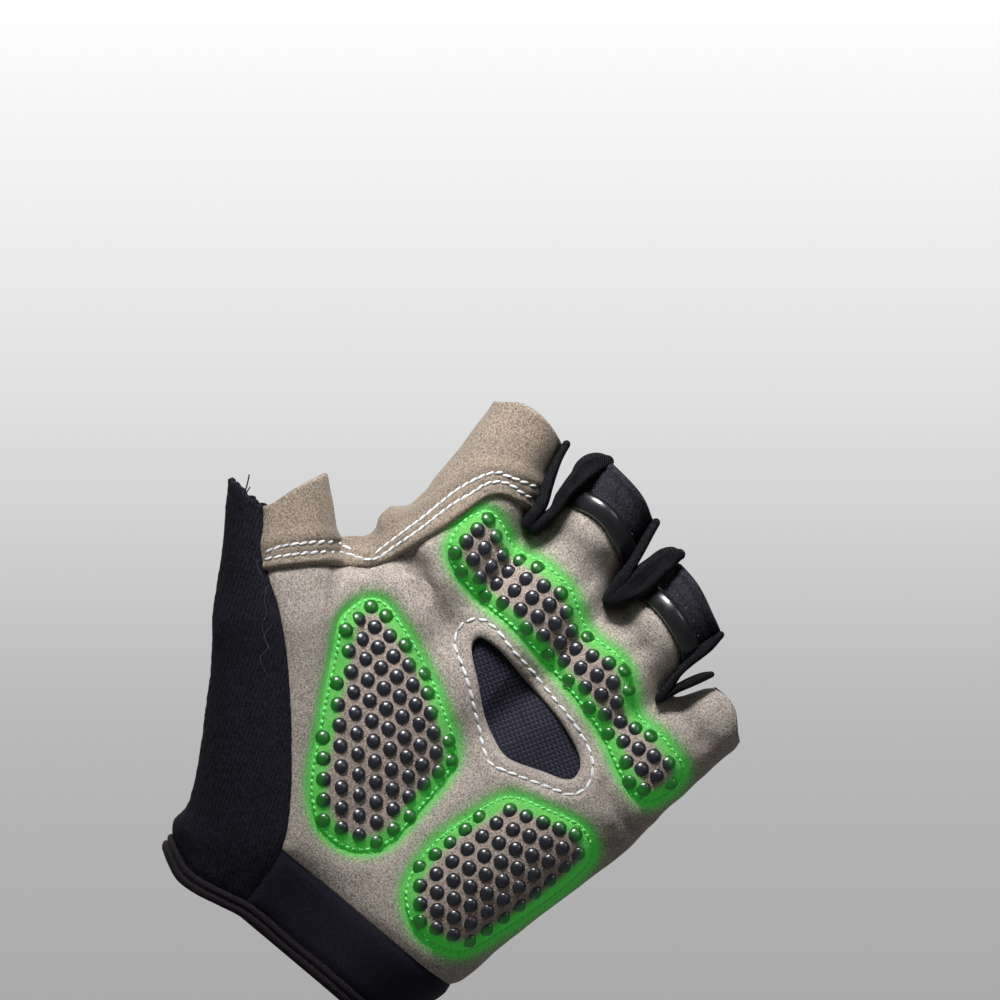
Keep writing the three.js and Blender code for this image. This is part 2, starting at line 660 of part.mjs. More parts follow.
const glove = new THREE.Group();
glove.add(
  meshOf("palm_panel", palmPanel(), "palm_suede"),
  meshOf("web_panel", webPanel(), "web_suede"),
  meshOf("terry_panel", terryPanel(), "terry"),
  meshOf("back_panel", backPanel(), "knit"),
  meshOf("mesh_window", meshWindow(), "window_mesh"),
  meshOf("cuff_band", cuffBand(), "neoprene"),
  meshOf("cuff_binding", cuffBinding(), "neoprene"),
  meshOf("middle_finger_band", fingerBand(middleBandRegion), "knit"),
  meshOf("ring_finger_band", fingerBand(ringBandRegion), "knit"),
);
for (const [name, rows] of Object.entries(PAD_OUTLINES)) {
  glove.add(meshOf(name, gelPad(rows), "gel"));
}
for (const [name, rows] of Object.entries(PULL_STRIPS)) {
  glove.add(meshOf(name, pullStrip(rows), "gloss"));
}
for (const [name, rows] of Object.entries(CROTCH_RIBBONS)) {
  glove.add(meshOf(name, crotchRibbon(rows), "ribbon"));
}

export default glove;
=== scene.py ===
import json
import math
from functools import lru_cache

import bpy
import numpy as np
from mathutils import Matrix, Vector
from mathutils.bvhtree import BVHTree
from mathutils.kdtree import KDTree

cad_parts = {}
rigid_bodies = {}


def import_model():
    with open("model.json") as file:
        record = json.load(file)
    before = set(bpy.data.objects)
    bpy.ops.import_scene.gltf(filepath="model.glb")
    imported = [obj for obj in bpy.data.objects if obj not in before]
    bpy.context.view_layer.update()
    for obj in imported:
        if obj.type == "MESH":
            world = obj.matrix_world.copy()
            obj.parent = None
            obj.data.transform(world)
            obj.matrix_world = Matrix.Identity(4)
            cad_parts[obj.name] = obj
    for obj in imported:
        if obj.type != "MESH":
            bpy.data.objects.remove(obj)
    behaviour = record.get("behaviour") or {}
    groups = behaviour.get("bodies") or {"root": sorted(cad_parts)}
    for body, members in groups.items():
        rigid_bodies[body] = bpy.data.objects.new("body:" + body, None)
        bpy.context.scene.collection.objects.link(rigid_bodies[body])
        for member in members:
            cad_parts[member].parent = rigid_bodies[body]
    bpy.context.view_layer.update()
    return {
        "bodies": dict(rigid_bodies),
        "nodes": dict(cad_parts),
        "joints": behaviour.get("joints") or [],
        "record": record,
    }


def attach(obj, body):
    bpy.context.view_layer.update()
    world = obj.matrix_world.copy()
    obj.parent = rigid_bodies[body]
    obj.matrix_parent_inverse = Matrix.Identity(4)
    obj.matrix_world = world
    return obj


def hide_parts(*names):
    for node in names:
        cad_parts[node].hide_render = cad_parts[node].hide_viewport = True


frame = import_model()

bl_info = {
    "name": "Cycling Glove",
    "version": (1, 0, 0),
    "blender": (4, 5, 0),
    "location": "View3D > Sidebar > Glove",
    "description": "Dresses the solids of a half-finger cycling glove in suede, knit, towelling and gel domes",
    "category": "Object",
}

MM = 0.001  # metres in a millimetre

# Driving dimensions of the solids, in millimetres: +Z runs to the fingers and the palm faces -Y
GLOVE_LENGTH = 134.0
PALM_WIDTH = 93.0
PALM_DEPTH = 30.0
SEAM_Y = 1.0
CUFF_TOP = 20.6
BINDING_HEIGHT = 5.6
PALM_BLEND = 3.0
CROTCH_BLEND = 1.2
FAR = 300.0

# The form as tapered bones: x, y, z and radius of the start, then of the end. x is in palm widths, y in
# palm depths, z in glove lengths. The palm's radii are in palm depths, those of the sleeves in palm widths.
PALM_BONES = (
    (-0.172, 0.0, -0.104, 0.617, -0.151, 0.0, 0.164, 0.617),
    (-0.011, 0.0, -0.104, 0.617, -0.011, 0.0, 0.164, 0.6),
    (0.151, 0.0, -0.104, 0.617, 0.129, 0.0, 0.164, 0.6),
    (-0.129, 0.033, 0.194, 0.533, -0.306, 0.0, 0.746, 0.4),
    (-0.043, 0.033, 0.194, 0.533, -0.043, 0.0, 0.776, 0.4),
    (0.086, 0.033, 0.194, 0.533, 0.194, 0.0, 0.731, 0.4),
    (0.172, 0.0, 0.194, 0.5, 0.387, 0.0, 0.657, 0.383),
    (-0.183, -0.133, 0.164, 0.633, -0.473, -0.2, 0.433, 0.533),
    (0.215, -0.1, 0.164, 0.5, 0.355, -0.1, 0.537, 0.417),
    (-0.473, -0.067, 0.463, 0.367, -0.355, 0.0, 0.657, 0.333),
)
SLEEVE_BONES = (
    (-0.495, -0.2, 0.448, 0.17, -0.774, -0.267, 0.657, 0.11),
    (-0.296, 0.0, 0.731, 0.135, -0.363, -0.1, 1.015, 0.088),
    (-0.039, 0.0, 0.761, 0.119, -0.074, -0.1, 1.045, 0.096),
    (0.197, 0.0, 0.731, 0.12, 0.254, -0.1, 0.985, 0.095),
    (0.383, 0.0, 0.642, 0.118, 0.497, -0.1, 0.843, 0.071),
)

# Hollows of the palm: x, z of both ends, half width and depth, the last two in palm depths
DENTS = (
    (-0.02, 0.28, 0.08, 0.62, 0.3, 0.07),
    (-0.5, 0.6, -0.33, 0.66, 0.14, 0.06),
    (-0.34, 0.64, -0.17, 0.59, 0.11, 0.035),
    (-0.16, 0.84, 0.0, 0.82, 0.1, 0.03),
    (0.0, 0.866, 0.2, 0.793, 0.1, 0.04),
)

# Seams, openings and outlines in the same shares of width and length
TERRY_FRONT = (
    (-0.8, 0.64), (-0.711, 0.572), (-0.63, 0.505), (-0.516, 0.456), (-0.408, 0.389), (-0.276, 0.291),
    (-0.18, 0.204), (-0.145, 0.159), (-0.129, 0.057), (-0.127, -0.1),
)
TERRY_BACK = ((-0.7, 0.72), (-0.6, 0.6), (-0.47, 0.45), (-0.34, 0.28), (-0.27, 0.15), (-0.25, -0.1))
GUSSET = (
    (-0.75, 0.36), (-0.614, 0.495), (-0.518, 0.564), (-0.42, 0.617), (-0.35, 0.736), (-0.305, 0.837),
    (-0.246, 0.856), (-0.171, 0.852),
)
THUMB_MOUTH = ((-0.95, 0.566), (-0.755, 0.567), (-0.709, 0.571), (-0.675, 0.629), (-0.64, 0.686), (-0.6, 0.75))
INDEX_MOUTH = ((-0.5, 0.945), (-0.448, 0.956), (-0.395, 0.98), (-0.316, 0.985), (-0.223, 0.968))
MIDDLE_MOUTH = ((-0.195, 1.0), (-0.124, 1.0), (-0.013, 0.99), (0.06, 0.965))
RING_MOUTH = ((0.105, 0.948), (0.148, 0.946), (0.216, 0.937), (0.287, 0.917), (0.345, 0.9))
LITTLE_MOUTH = ((0.361, 0.824), (0.441, 0.827), (0.481, 0.817), (0.537, 0.786), (0.6, 0.765))
MIDDLE_HEM = ((-0.184, 0.899), (-0.149, 0.912), (-0.063, 0.914), (0.03, 0.896), (0.058, 0.892))
RING_HEM = ((0.09, 0.846), (0.132, 0.857), (0.213, 0.856), (0.317, 0.827), (0.338, 0.822))
PAD_OUTLINES = {
    "gel_pad_thumb": (
        (-0.36, 0.575), (-0.393, 0.523), (-0.342, 0.45), (-0.262, 0.347), (-0.182, 0.258), (-0.103, 0.221),
        (-0.014, 0.226), (0.04, 0.265), (0.051, 0.35), (0.035, 0.457), (-0.063, 0.507), (-0.238, 0.563),
    ),
    "gel_pad_knuckle": (
        (-0.291, 0.808), (-0.321, 0.762), (-0.301, 0.714), (-0.214, 0.689), (-0.049, 0.684), (0.11, 0.669),
        (0.26, 0.645), (0.387, 0.607), (0.455, 0.603), (0.49, 0.645), (0.478, 0.688), (0.403, 0.706),
        (0.303, 0.711), (0.214, 0.76), (0.079, 0.765), (-0.009, 0.797), (-0.1, 0.803), (-0.18, 0.792),
        (-0.25, 0.81),
    ),
    "gel_pad_heel": (
        (0.192, 0.463), (0.154, 0.401), (0.125, 0.314), (0.148, 0.231), (0.235, 0.192), (0.345, 0.208),
        (0.395, 0.28), (0.446, 0.424), (0.443, 0.478), (0.383, 0.504), (0.285, 0.49),
    ),
}
# Some of each pad's domes, read off the photo, from which the others are worked out: place in its row,
# row, x and z in millimetres
DOME_MARKS = {
    "gel_pad_thumb": (
        (0, 0, -15.8, 59.6), (-4, 4, -29.5, 71.9), (5, -5, -0.1, 43.3), (-3, 1, -27.2, 61.0),
        (3, -5, -8.1, 40.9), (1, 2, -10.9, 68.3), (5, -2, 2.3, 56.1),
    ),
    "gel_pad_knuckle": (
        (-9, 5, -25.9, 103.5), (-7, 2, -18.6, 95.5), (-3, 3, -2.4, 104.7), (-2, 1, 1.1, 98.9),
        (0, 0, 8.3, 97.3), (3, -2, 19.2, 92.7), (5, -3, 26.6, 91.1), (8, -4, 37.2, 90.1),
        (9, -6, 40.3, 82.9), (10, -5, 44.1, 87.8),
    ),
    "gel_pad_heel": (
        (0, 0, 26.0, 49.9), (-2, 3, 20.4, 59.9), (2, 3, 34.8, 65.4), (3, 1, 37.9, 57.9),
        (-2, 0, 18.3, 47.4), (-2, -3, 15.7, 34.1), (1, -3, 27.2, 37.9), (3, -5, 32.0, 31.7),
    ),
}
DOME_FACING = 0.55  # a dome is left out where the pad turns further from the palm than this
DOME_REACH = 10  # rows on each side of the middle one, and domes on each side in a row
WINDOW_OUTLINE = (
    (-0.114, 0.637), (-0.113, 0.616), (-0.038, 0.574), (0.061, 0.524), (0.126, 0.51), (0.213, 0.529),
    (0.284, 0.554), (0.277, 0.586), (0.191, 0.615), (0.049, 0.633), (-0.066, 0.645),
)

# Folds of the suede in millimetres: x, z of both ends, half width, depth. Ridges have a depth below nought.
FOLDS = (
    (-37.0, 90.5, -26.2, 85.5, 2.2, 1.3),
    (-26.2, 85.5, -17.0, 83.6, 2.6, 1.1),
    (-34.0, 83.0, -23.0, 79.5, 3.0, -0.7),
    (-30.0, 93.0, -19.0, 90.0, 2.6, -0.4),
    (-19.6, 88.1, -24.2, 96.0, 2.2, 0.4),
    (-45.3, 77.4, -41.1, 70.0, 1.4, 0.5),
    (-41.8, 79.0, -37.5, 72.0, 2.2, -0.4),
    (-10.7, 115.3, -0.2, 112.3, 2.4, 0.6),
    (-12.0, 119.5, -2.0, 118.0, 2.8, -0.6),
    (8.5, 111.7, 19.5, 106.3, 2.2, 0.6),
    (19.5, 106.3, 29.7, 102.2, 2.2, 0.6),
    (12.0, 115.0, 23.0, 110.5, 2.6, -0.5),
    (34.4, 102.6, 43.0, 99.5, 2.4, 0.9),
    (40.0, 104.5, 46.0, 103.5, 2.4, -0.5),
    (33.0, 77.5, 44.0, 74.0, 1.9, 0.8),
    (36.0, 82.0, 47.0, 79.5, 2.2, -0.5),
    (41.0, 71.0, 46.0, 66.0, 1.6, 0.4),
    (-14.0, 22.5, 2.0, 27.0, 2.4, -0.3),
    (-48.0, 96.0, -36.0, 99.5, 1.6, 0.5),
)

# The web's edge between thumb and index finger stands out or draws in here: x, z of both ends, radius, height
WEB_SWELLS = (
    (-44.6, 91.8, -43.6, 94.6, 2.3, 2.1),
    (-44.0, 86.0, -43.5, 88.0, 2.4, -1.4),
    (-42.0, 99.0, -41.0, 103.0, 2.6, -0.7),
)

# Rows of stitches in millimetres of x and z
SEAM_STITCHES = {
    "thumb": (
        (-59.2, 69.0), (-57.1, 72.5), (-53.7, 76.2), (-49.7, 79.9), (-47.3, 81.2), (-44.8, 81.5),
    ),
    "index": (
        (-40.0, 84.6), (-39.1, 88.9), (-38.2, 92.7), (-37.2, 96.8), (-36.1, 102.6), (-35.3, 106.6),
        (-34.1, 110.3), (-32.7, 113.5), (-30.8, 116.2), (-27.6, 117.4), (-24.3, 118.6), (-21.8, 119.5),
    ),
    "lower": (
        (-58.2, 67.8), (-54.1, 72.5), (-49.4, 77.2), (-46.4, 79.5), (-43.9, 80.8), (-40.9, 82.1),
        (-39.2, 83.7), (-37.7, 88.5), (-35.8, 95.2), (-34.5, 101.3), (-33.5, 105.2), (-32.2, 108.6),
        (-31.1, 112.3), (-29.4, 114.6), (-27.2, 115.9), (-24.2, 116.2), (-21.0, 116.8),
    ),
}
WINDOW_STITCHES = (
    (-13.1, 88.0), (-14.8, 84.5), (-13.4, 80.7), (-8.5, 77.7), (-3.2, 74.2), (3.2, 69.4), (7.7, 66.1),
    (10.3, 65.1), (17.5, 67.3), (24.3, 69.7), (28.8, 71.7), (30.1, 75.1), (28.3, 79.3), (25.0, 81.8),
    (18.4, 84.2), (11.0, 85.6), (3.9, 87.0), (-2.7, 87.9), (-9.3, 89.1),
)
BAND_STITCHES = {
    "middle": ((-12.6, 127.4), (-10.1, 128.0), (-6.2, 128.0), (-2.2, 127.5), (0.9, 125.6), (2.8, 124.1)),
    "ring": ((13.1, 121.1), (16.5, 121.3), (21.0, 120.3), (24.9, 118.8), (29.0, 116.2)),
}

# The middles of the pull strips in millimetres of x and z
PULL_STRIPS = {
    "middle": ((-14.6, 122.4), (-12.6, 123.4), (-9.0, 124.5), (-4.6, 124.5), (-0.6, 123.1), (3.0, 121.4), (4.6, 120.2)),
    "ring": ((10.2, 116.7), (12.2, 117.3), (16.5, 117.6), (22.1, 116.4), (26.2, 114.7), (28.2, 113.4), (29.3, 112.3)),
}

# The arms of the ribbons, from the fold outwards: x, z, width across the palm's view, depth, foremost y and
# how far the ribbon is creased along its middle
CROTCH_RIBBONS = {
    "binding_index_middle": (
        (
            (-17.9, 112.0, 3.4, 13.0, -11.5, 0.0), (-18.2, 114.6, 3.4, 14.0, -12.2, 0.0),
            (-18.6, 117.4, 3.1, 14.5, -12.5, 0.1),
            (-20.0, 120.8, 2.7, 14.0, -12.0, 0.2), (-21.4, 124.7, 2.3, 13.0, -11.0, 0.1),
            (-22.4, 128.3, 1.9, 11.0, -9.5, 0.0), (-22.9, 131.2, 1.9, 8.0, -8.0, 0.0),
        ),
        (
            (-16.4, 112.2, 4.2, 13.0, -11.5, 0.0), (-15.7, 115.2, 3.2, 14.0, -12.2, 0.0),
            (-15.3, 118.0, 2.7, 13.0, -12.8, 0.2), (-15.9, 121.2, 3.3, 11.0, -13.2, 0.5),
            (-16.1, 124.4, 3.7, 9.0, -13.0, 0.6), (-15.9, 127.2, 4.4, 7.5, -12.8, 0.7),
            (-16.0, 129.6, 5.3, 6.5, -11.8, 0.5), (-15.0, 132.3, 4.8, 6.0, -10.6, 0.3),
            (-13.3, 134.1, 3.0, 5.0, -9.6, 0.0),
        ),
    ),
    "binding_middle_ring": (
        (
            (7.0, 110.4, 3.0, 14.0, -12.0, 0.0), (6.6, 113.6, 3.4, 14.0, -12.8, 0.2),
            (6.2, 117.0, 3.2, 13.0, -13.0, 0.3), (5.7, 120.4, 2.6, 12.0, -12.7, 0.2),
            (5.1, 124.0, 2.3, 12.0, -12.2, 0.2), (4.4, 127.6, 2.2, 10.0, -11.0, 0.1),
            (3.9, 130.6, 2.1, 8.0, -9.6, 0.0),
        ),
        (
            (7.8, 110.6, 3.8, 14.0, -12.0, 0.0), (8.7, 113.8, 5.2, 12.0, -12.8, 0.2),
            (9.6, 117.2, 6.4, 10.0, -13.4, 0.6), (10.2, 120.9, 6.6, 8.0, -12.9, 0.6),
            (10.8, 124.6, 5.7, 7.0, -11.8, 0.4), (11.7, 127.2, 4.6, 6.0, -10.8, 0.1),
            (12.6, 128.5, 2.6, 5.0, -10.2, 0.0),
        ),
    ),
    "binding_ring_little": (
        (
            (30.0, 100.8, 2.4, 13.0, -11.0, 0.0), (29.9, 104.2, 2.3, 13.0, -11.6, 0.1),
            (29.6, 107.8, 2.0, 13.0, -11.8, 0.1), (29.9, 111.4, 2.2, 12.0, -11.4, 0.2),
            (30.4, 114.4, 2.6, 11.0, -10.8, 0.2), (30.9, 117.4, 2.6, 10.0, -9.6, 0.1),
            (31.4, 120.6, 1.8, 8.0, -8.0, 0.0),
        ),
        (
            (30.2, 100.9, 2.2, 12.0, -11.0, 0.0), (31.4, 104.4, 2.0, 11.0, -11.4, 0.1),
            (32.9, 107.8, 2.3, 10.0, -11.2, 0.2), (34.4, 110.7, 2.0, 8.0, -10.4, 0.1),
            (35.5, 112.4, 1.4, 6.0, -9.0, 0.0),
        ),
    ),
}

# How far the wrist's edge is drawn up on the palm's side, in millimetres of x and z
WRIST_EDGE = (
    (-40.0, 3.4), (-35.0, 2.6), (-31.0, 0.9), (-27.0, -0.4), (-22.0, 0.0), (-16.0, 1.5), (-10.0, 2.8),
    (1.5, 2.7), (12.0, 2.8), (25.0, 2.4), (40.0, 2.2),
)

# Loose strands in millimetres of x, z and height over the fabric
LOOSE_THREAD = ((-71.0, 74.4, 0.0), (-71.6, 76.6, 0.3), (-72.4, 78.4, 0.5), (-73.2, 79.9, 0.6))
LOOSE_THREAD_TWO = ((-70.9, 74.6, 0.0), (-71.1, 76.4, 0.3), (-71.3, 77.9, 0.6))
LINT = (
    ((-54.0, 63.7, 0.2), (-52.2, 60.8, 0.5), (-50.1, 59.0, 0.3), (-48.9, 56.2, 0.5), (-44.1, 52.9, 0.2)),
    ((-47.5, 57.5, 0.2), (-47.0, 54.5, 0.5), (-44.8, 53.2, 0.4), (-44.6, 50.4, 0.6), (-41.6, 48.5, 0.2)),
    ((-60.0, 70.5, 0.2), (-58.4, 68.4, 0.6), (-58.9, 66.1, 0.4), (-56.4, 64.6, 0.2)),
)


# ---------------------------------------------------------------------------------------------------
# Properties


def length(name, default, description):
    return bpy.props.FloatProperty(
        name=name, default=default, description=description, min=0.0, unit="LENGTH", subtype="DISTANCE",
        precision=5,
    )


def colour(name, default, description):
    return bpy.props.FloatVectorProperty(
        name=name, default=default, description=description, size=3, min=0.0, max=1.0, subtype="COLOR",
    )


class GloveSizes(bpy.types.PropertyGroup):
    """Sizes of the fabric, the pads, the domes and the sewing"""

    wall: length("Fabric Thickness", 0.0015, "Thickness of the suede or knit with its lining")
    net_step: length("Net Step", 0.0008, "Distance between neighbouring points of the fabric's mesh")
    seam_depth: length("Seam Depth", 0.0006, "How far a panel's edge sinks into the seam beside it")
    seam_reach: length("Seam Reach", 0.0012, "How far from the edge a panel starts to sink")
    lap_rise: length("Lap Rise", 0.0011, "How far the web's edge stands over the palm at the lapped seam")
    pad_rise: length("Pad Rise", 0.0018, "Height of a gel pad over the suede")
    dome_width: length("Dome Width", 0.0035, "Diameter of a dome")
    dome_rise: length("Dome Rise", 0.001, "Height of a dome over its pad")
    dome_edge: length("Dome Edge", 0.0006, "Least distance from a dome's middle to its pad's outline")
    stitch_length: length("Stitch Length", 0.0026, "Length of a stitch round the window")
    stitch_width: length("Stitch Width", 0.00085, "Thickness of the sewing thread")
    stitch_gap: length("Stitch Gap", 0.0001, "Space between two stitches")
    mesh_pitch: length("Mesh Pitch", 0.00071, "Distance between the threads of the window's weave")


class GloveColours(bpy.types.PropertyGroup):
    """Colours of the fabrics and the trim"""

    palm_suede: colour("Palm Suede", (0.34, 0.295, 0.262), "Napped suede of the palm")
    web_suede: colour("Web Suede", (0.268, 0.218, 0.170), "Browner suede of the thumb, web and index finger")
    pad_suede: colour("Pad Suede", (0.33, 0.27, 0.235), "Suede between the domes")
    terry: colour("Towelling", (0.0075, 0.0068, 0.012), "Black towelling on the thumb")
    knit: colour("Knit", (0.018, 0.017, 0.023), "Black knit of the back and the finger bands")
    mesh: colour("Window Mesh", (0.0145, 0.014, 0.028), "Threads of the window's mesh")
    neoprene: colour("Cuff", (0.008, 0.007, 0.013), "Smooth black cuff")
    ribbon: colour("Ribbon", (0.008, 0.008, 0.011), "Black ribbed ribbon")
    binding: colour("Binding", (0.013, 0.0095, 0.0135), "Black tape round the wrist's edge")
    gloss: colour("Pull Strip", (0.006, 0.006, 0.008), "Glossy black strips")
    dome: colour("Dome", (0.009, 0.0096, 0.017), "Glossy domes of the pads")
    green: colour("Green Trim", (0.02, 0.4, 0.02), "Green rim round the pads")
    thread: colour("Thread", (0.82, 0.83, 0.84), "White sewing thread")
    lint: colour("Lint", (0.10, 0.095, 0.11), "Light hairs caught on the towelling")
    green_thread: colour("Green Thread", (0.2, 0.9, 0.22), "Light green sewing thread round the pads")


def sizes():
    return bpy.context.scene.glove_sizes


def colours():
    return bpy.context.scene.glove_colours


def in_mm(value):
    return value / MM


# ---------------------------------------------------------------------------------------------------
# The form


def bones_in_mm(bones, radius_unit):
    unit = np.array([PALM_WIDTH, PALM_DEPTH, GLOVE_LENGTH])
    return [
        (np.array(b[0:3]) * unit, np.array(b[4:7]) * unit, b[3] * radius_unit, b[7] * radius_unit)
        for b in bones
    ]


PALM = bones_in_mm(PALM_BONES, PALM_DEPTH)
SLEEVES = bones_in_mm(SLEEVE_BONES, PALM_WIDTH)


def bone_distance(points, bone):
    start, end, start_radius, end_radius = bone
    axis = end - start
    size = np.linalg.norm(axis)
    slope = (start_radius - end_radius) / size
    lean = slope / math.sqrt(1 - slope * slope)
    away = points - start
    along = away @ axis / size
    off = np.sqrt(np.maximum((away**2).sum(1) - along**2, 0))
    share = np.clip((along - off * lean) / size, 0, 1)
    return np.hypot(off, along - share * size) - (start_radius + (end_radius - start_radius) * share)


def blended(distances, blend):
    least = np.minimum.reduce(distances)
    return least - blend * np.log(sum(np.exp((least - distance) / blend) for distance in distances))


def smooth_step(value, low, high):
    share = np.clip((value - low) / (high - low), 0, 1)
    return share * share * (3 - 2 * share)


def segment_distance(x, z, x0, z0, x1, z1):
    run_x, run_z = x1 - x0, z1 - z0
    share = np.clip(((x - x0) * run_x + (z - z0) * run_z) / (run_x**2 + run_z**2), 0, 1)
    return np.hypot(x - x0 - share * run_x, z - z0 - share * run_z)


def form_distance(points):
    palm = blended([bone_distance(points, bone) for bone in PALM], PALM_BLEND)
    form = blended([palm] + [bone_distance(points, bone) for bone in SLEEVES], CROTCH_BLEND)
    x, y, z = points.T
    dent = 0
    for x0, z0, x1, z1, half_width, depth in DENTS:
        line = (x0 * PALM_WIDTH, z0 * GLOVE_LENGTH, x1 * PALM_WIDTH, z1 * GLOVE_LENGTH)
        away = segment_distance(x, z, *line) / (half_width * PALM_DEPTH)
        dent = dent + depth * PALM_DEPTH * np.exp(-(away**2))
    return form + dent * smooth_step(-y, 0, PALM_DEPTH / 4)


SLOPE_STEP = 0.05


def form_slope(points):
    slope = np.empty_like(points)
    for axis in range(3):
        step = np.zeros(3)
        step[axis] = SLOPE_STEP
        slope[:, axis] = form_distance(points + step) - form_distance(points - step)
    return slope / (2 * SLOPE_STEP)


def form_normals(points):
    slope = form_slope(points)
    return slope / np.linalg.norm(slope, axis=1)[:, None]


def settled(points, level=0.0, rounds=3):
    """The points drawn onto the form, or onto the surface that lies that far outside it."""
    for _ in range(rounds):
        slope = form_slope(points)
        distance = form_distance(points) - level
        points = points - slope * (distance / (slope**2).sum(1))[:, None]
    return points


class Patch:
    """A part of the form's surface: points on it, their outward directions and triangles."""

    def __init__(self, points, normals, triangles):
        self.points = points
        self.normals = normals
        self.triangles = triangles


COARSE = 4  # fine steps in a coarse one
SURE = 1.25  # coarse steps from the form past which the sign of a distance is sure


def form_grid(step):
    ends = [end for bone in PALM + SLEEVES for end in (bone[0], bone[1])]
    reach = max(max(bone[2], bone[3]) for bone in PALM + SLEEVES)
    low = np.min(ends, axis=0) - reach - step
    high = np.max(ends, axis=0) + reach + step
    coarse = COARSE * step
    counts = np.ceil((high - low) / coarse).astype(int)
    spots = np.stack(np.meshgrid(*[np.arange(n) for n in counts], indexing="ij"), axis=-1)
    rough = form_distance((spots.reshape(-1, 3) + 0.5) * coarse + low).reshape(counts)
    values = rough.repeat(COARSE, 0).repeat(COARSE, 1).repeat(COARSE, 2)
    near = np.argwhere(np.abs(values) < SURE * coarse)
    values[tuple(near.T)] = form_distance(near * step + low)
    return low, values


def cell_points(values, cells):
    """The middle of the crossings of each cell's edges, in steps."""
    total = np.zeros((len(cells), 3))
    count = np.zeros(len(cells))
    for axis in range(3):
        u, v = (axis + 1) % 3, (axis + 2) % 3
        for a, b in ((0, 0), (1, 0), (0, 1), (1, 1)):
            start = cells.copy()
            start[:, u] += a
            start[:, v] += b
            end = start.copy()
            end[:, axis] += 1
            low, high = values[tuple(start.T)], values[tuple(end.T)]
            crossed = (low < 0) != (high < 0)
            spot = start.astype(float)
            spot[crossed, axis] += (low / np.where(crossed, low - high, 1))[crossed]
            total[crossed] += spot[crossed]
            count[crossed] += 1
    return total / count[:, None]


def split_quads(quads, points):
    a, b, c, d = quads.T
    across = np.linalg.norm(points[a] - points[c], axis=1) < np.linalg.norm(points[b] - points[d], axis=1)
    first = np.where(across[:, None], np.stack([a, b, c], 1), np.stack([a, b, d], 1))
    second = np.where(across[:, None], np.stack([a, c, d], 1), np.stack([b, c, d], 1))
    return np.concatenate([first, second])


@lru_cache(maxsize=1)
def form_patch():
    """The whole form as a net of even triangles."""
    step = in_mm(sizes().net_step)
    low, values = form_grid(step)
    inside = values < 0
    corners = sum(
        inside[i:inside.shape[0] - 1 + i, j:inside.shape[1] - 1 + j, k:inside.shape[2] - 1 + k].astype(int)
        for i in (0, 1) for j in (0, 1) for k in (0, 1)
    )
    cells = np.argwhere((corners > 0) & (corners < 8))
    number = np.full(corners.shape, -1)
    number[tuple(cells.T)] = np.arange(len(cells))
    points = cell_points(values, cells) * step + low

    quads = []
    for axis in range(3):
        u, v = (axis + 1) % 3, (axis + 2) % 3
        size = inside.shape[axis]
        crossed = np.argwhere(inside.take(range(size - 1), axis) != inside.take(range(1, size), axis))
        crossed = crossed[(crossed[:, u] > 0) & (crossed[:, v] > 0)]
        steps = np.zeros((4, 3), int)
        steps[0, [u, v]] = -1
        steps[1, v] = -1
        steps[3, u] = -1
        quad = np.stack([number[tuple((crossed + s).T)] for s in steps], 1)
        outward = inside[tuple(crossed.T)]
        quads.append(np.where(outward[:, None], quad, quad[:, ::-1]))
    points = settled(points)
    triangles = split_quads(np.concatenate(quads), points)
    points = evened(points, triangles)
    return Patch(points, form_normals(points), triangles)


def neighbours_mean(points, triangles):
    total = np.zeros_like(points)
    count = np.zeros(len(points))
    for a, b in ((0, 1), (1, 2), (2, 0), (1, 0), (2, 1), (0, 2)):
        np.add.at(total, triangles[:, a], points[triangles[:, b]])
        np.add.at(count, triangles[:, a], 1)
    return total / np.maximum(count, 1)[:, None]


def evened(points, triangles, rounds=2):
    for _ in range(rounds):
        points = settled(0.5 * points + 0.5 * neighbours_mean(points, triangles), rounds=1)
    return points


# ---------------------------------------------------------------------------------------------------
# Lines and outlines in x and z


def in_place(rows):
    return np.array(rows, float) * (PALM_WIDTH, GLOVE_LENGTH)


def smooth_line(rows, closed=False, per_row=8):
    """A smooth curve through the rows of a table of shares."""
    return smooth_curve(in_place(rows), closed, per_row)


def smooth_curve(rows, closed=False, per_row=8):
    """A smooth curve through rows whose first two columns are a place. The others change along it."""
    points = np.array(rows, float)
    count = len(points)
    curve = []
    for i in range(count if closed else count - 1):
        p = [points[(i + k) % count] if closed else points[min(max(i + k, 0), count - 1)] for k in range(-1, 3)]
        gaps = [max(np.linalg.norm((p[k + 1] - p[k])[:2]) ** 0.5, 1e-6) for k in range(3)]
        if not closed and i == 0:
            gaps[0] = gaps[1]
            p[0] = 2 * p[1] - p[2]
        if not closed and i == count - 2:
            gaps[2] = gaps[1]
            p[3] = 2 * p[2] - p[1]
        t = np.concatenate([[0], np.cumsum(gaps)])
        for s in np.linspace(t[1], t[2], per_row, endpoint=False):
            a = [((t[k + 1] - s) * p[k] + (s - t[k]) * p[k + 1]) / (t[k + 1] - t[k]) for k in range(3)]
            b = [((t[k + 2] - s) * a[k] + (s - t[k]) * a[k + 1]) / (t[k + 2] - t[k]) for k in range(2)]
            curve.append(((t[2] - s) * b[0] + (s - t[1]) * b[1]) / (t[2] - t[1]))
    if not closed:
        curve.append(points[-1])
    return np.array(curve)


def away_from(line, x, z, closed=False):
    """The distance from a line."""
    ends = np.roll(line, -1, axis=0) if closed else line[1:]
    starts = line if closed else line[:-1]
    least = np.full(np.shape(x), np.inf)
    for (x0, z0), (x1, z1) in zip(starts, ends):
        least = np.minimum(least, segment_distance(x, z, x0, z0, x1, z1))
    return least


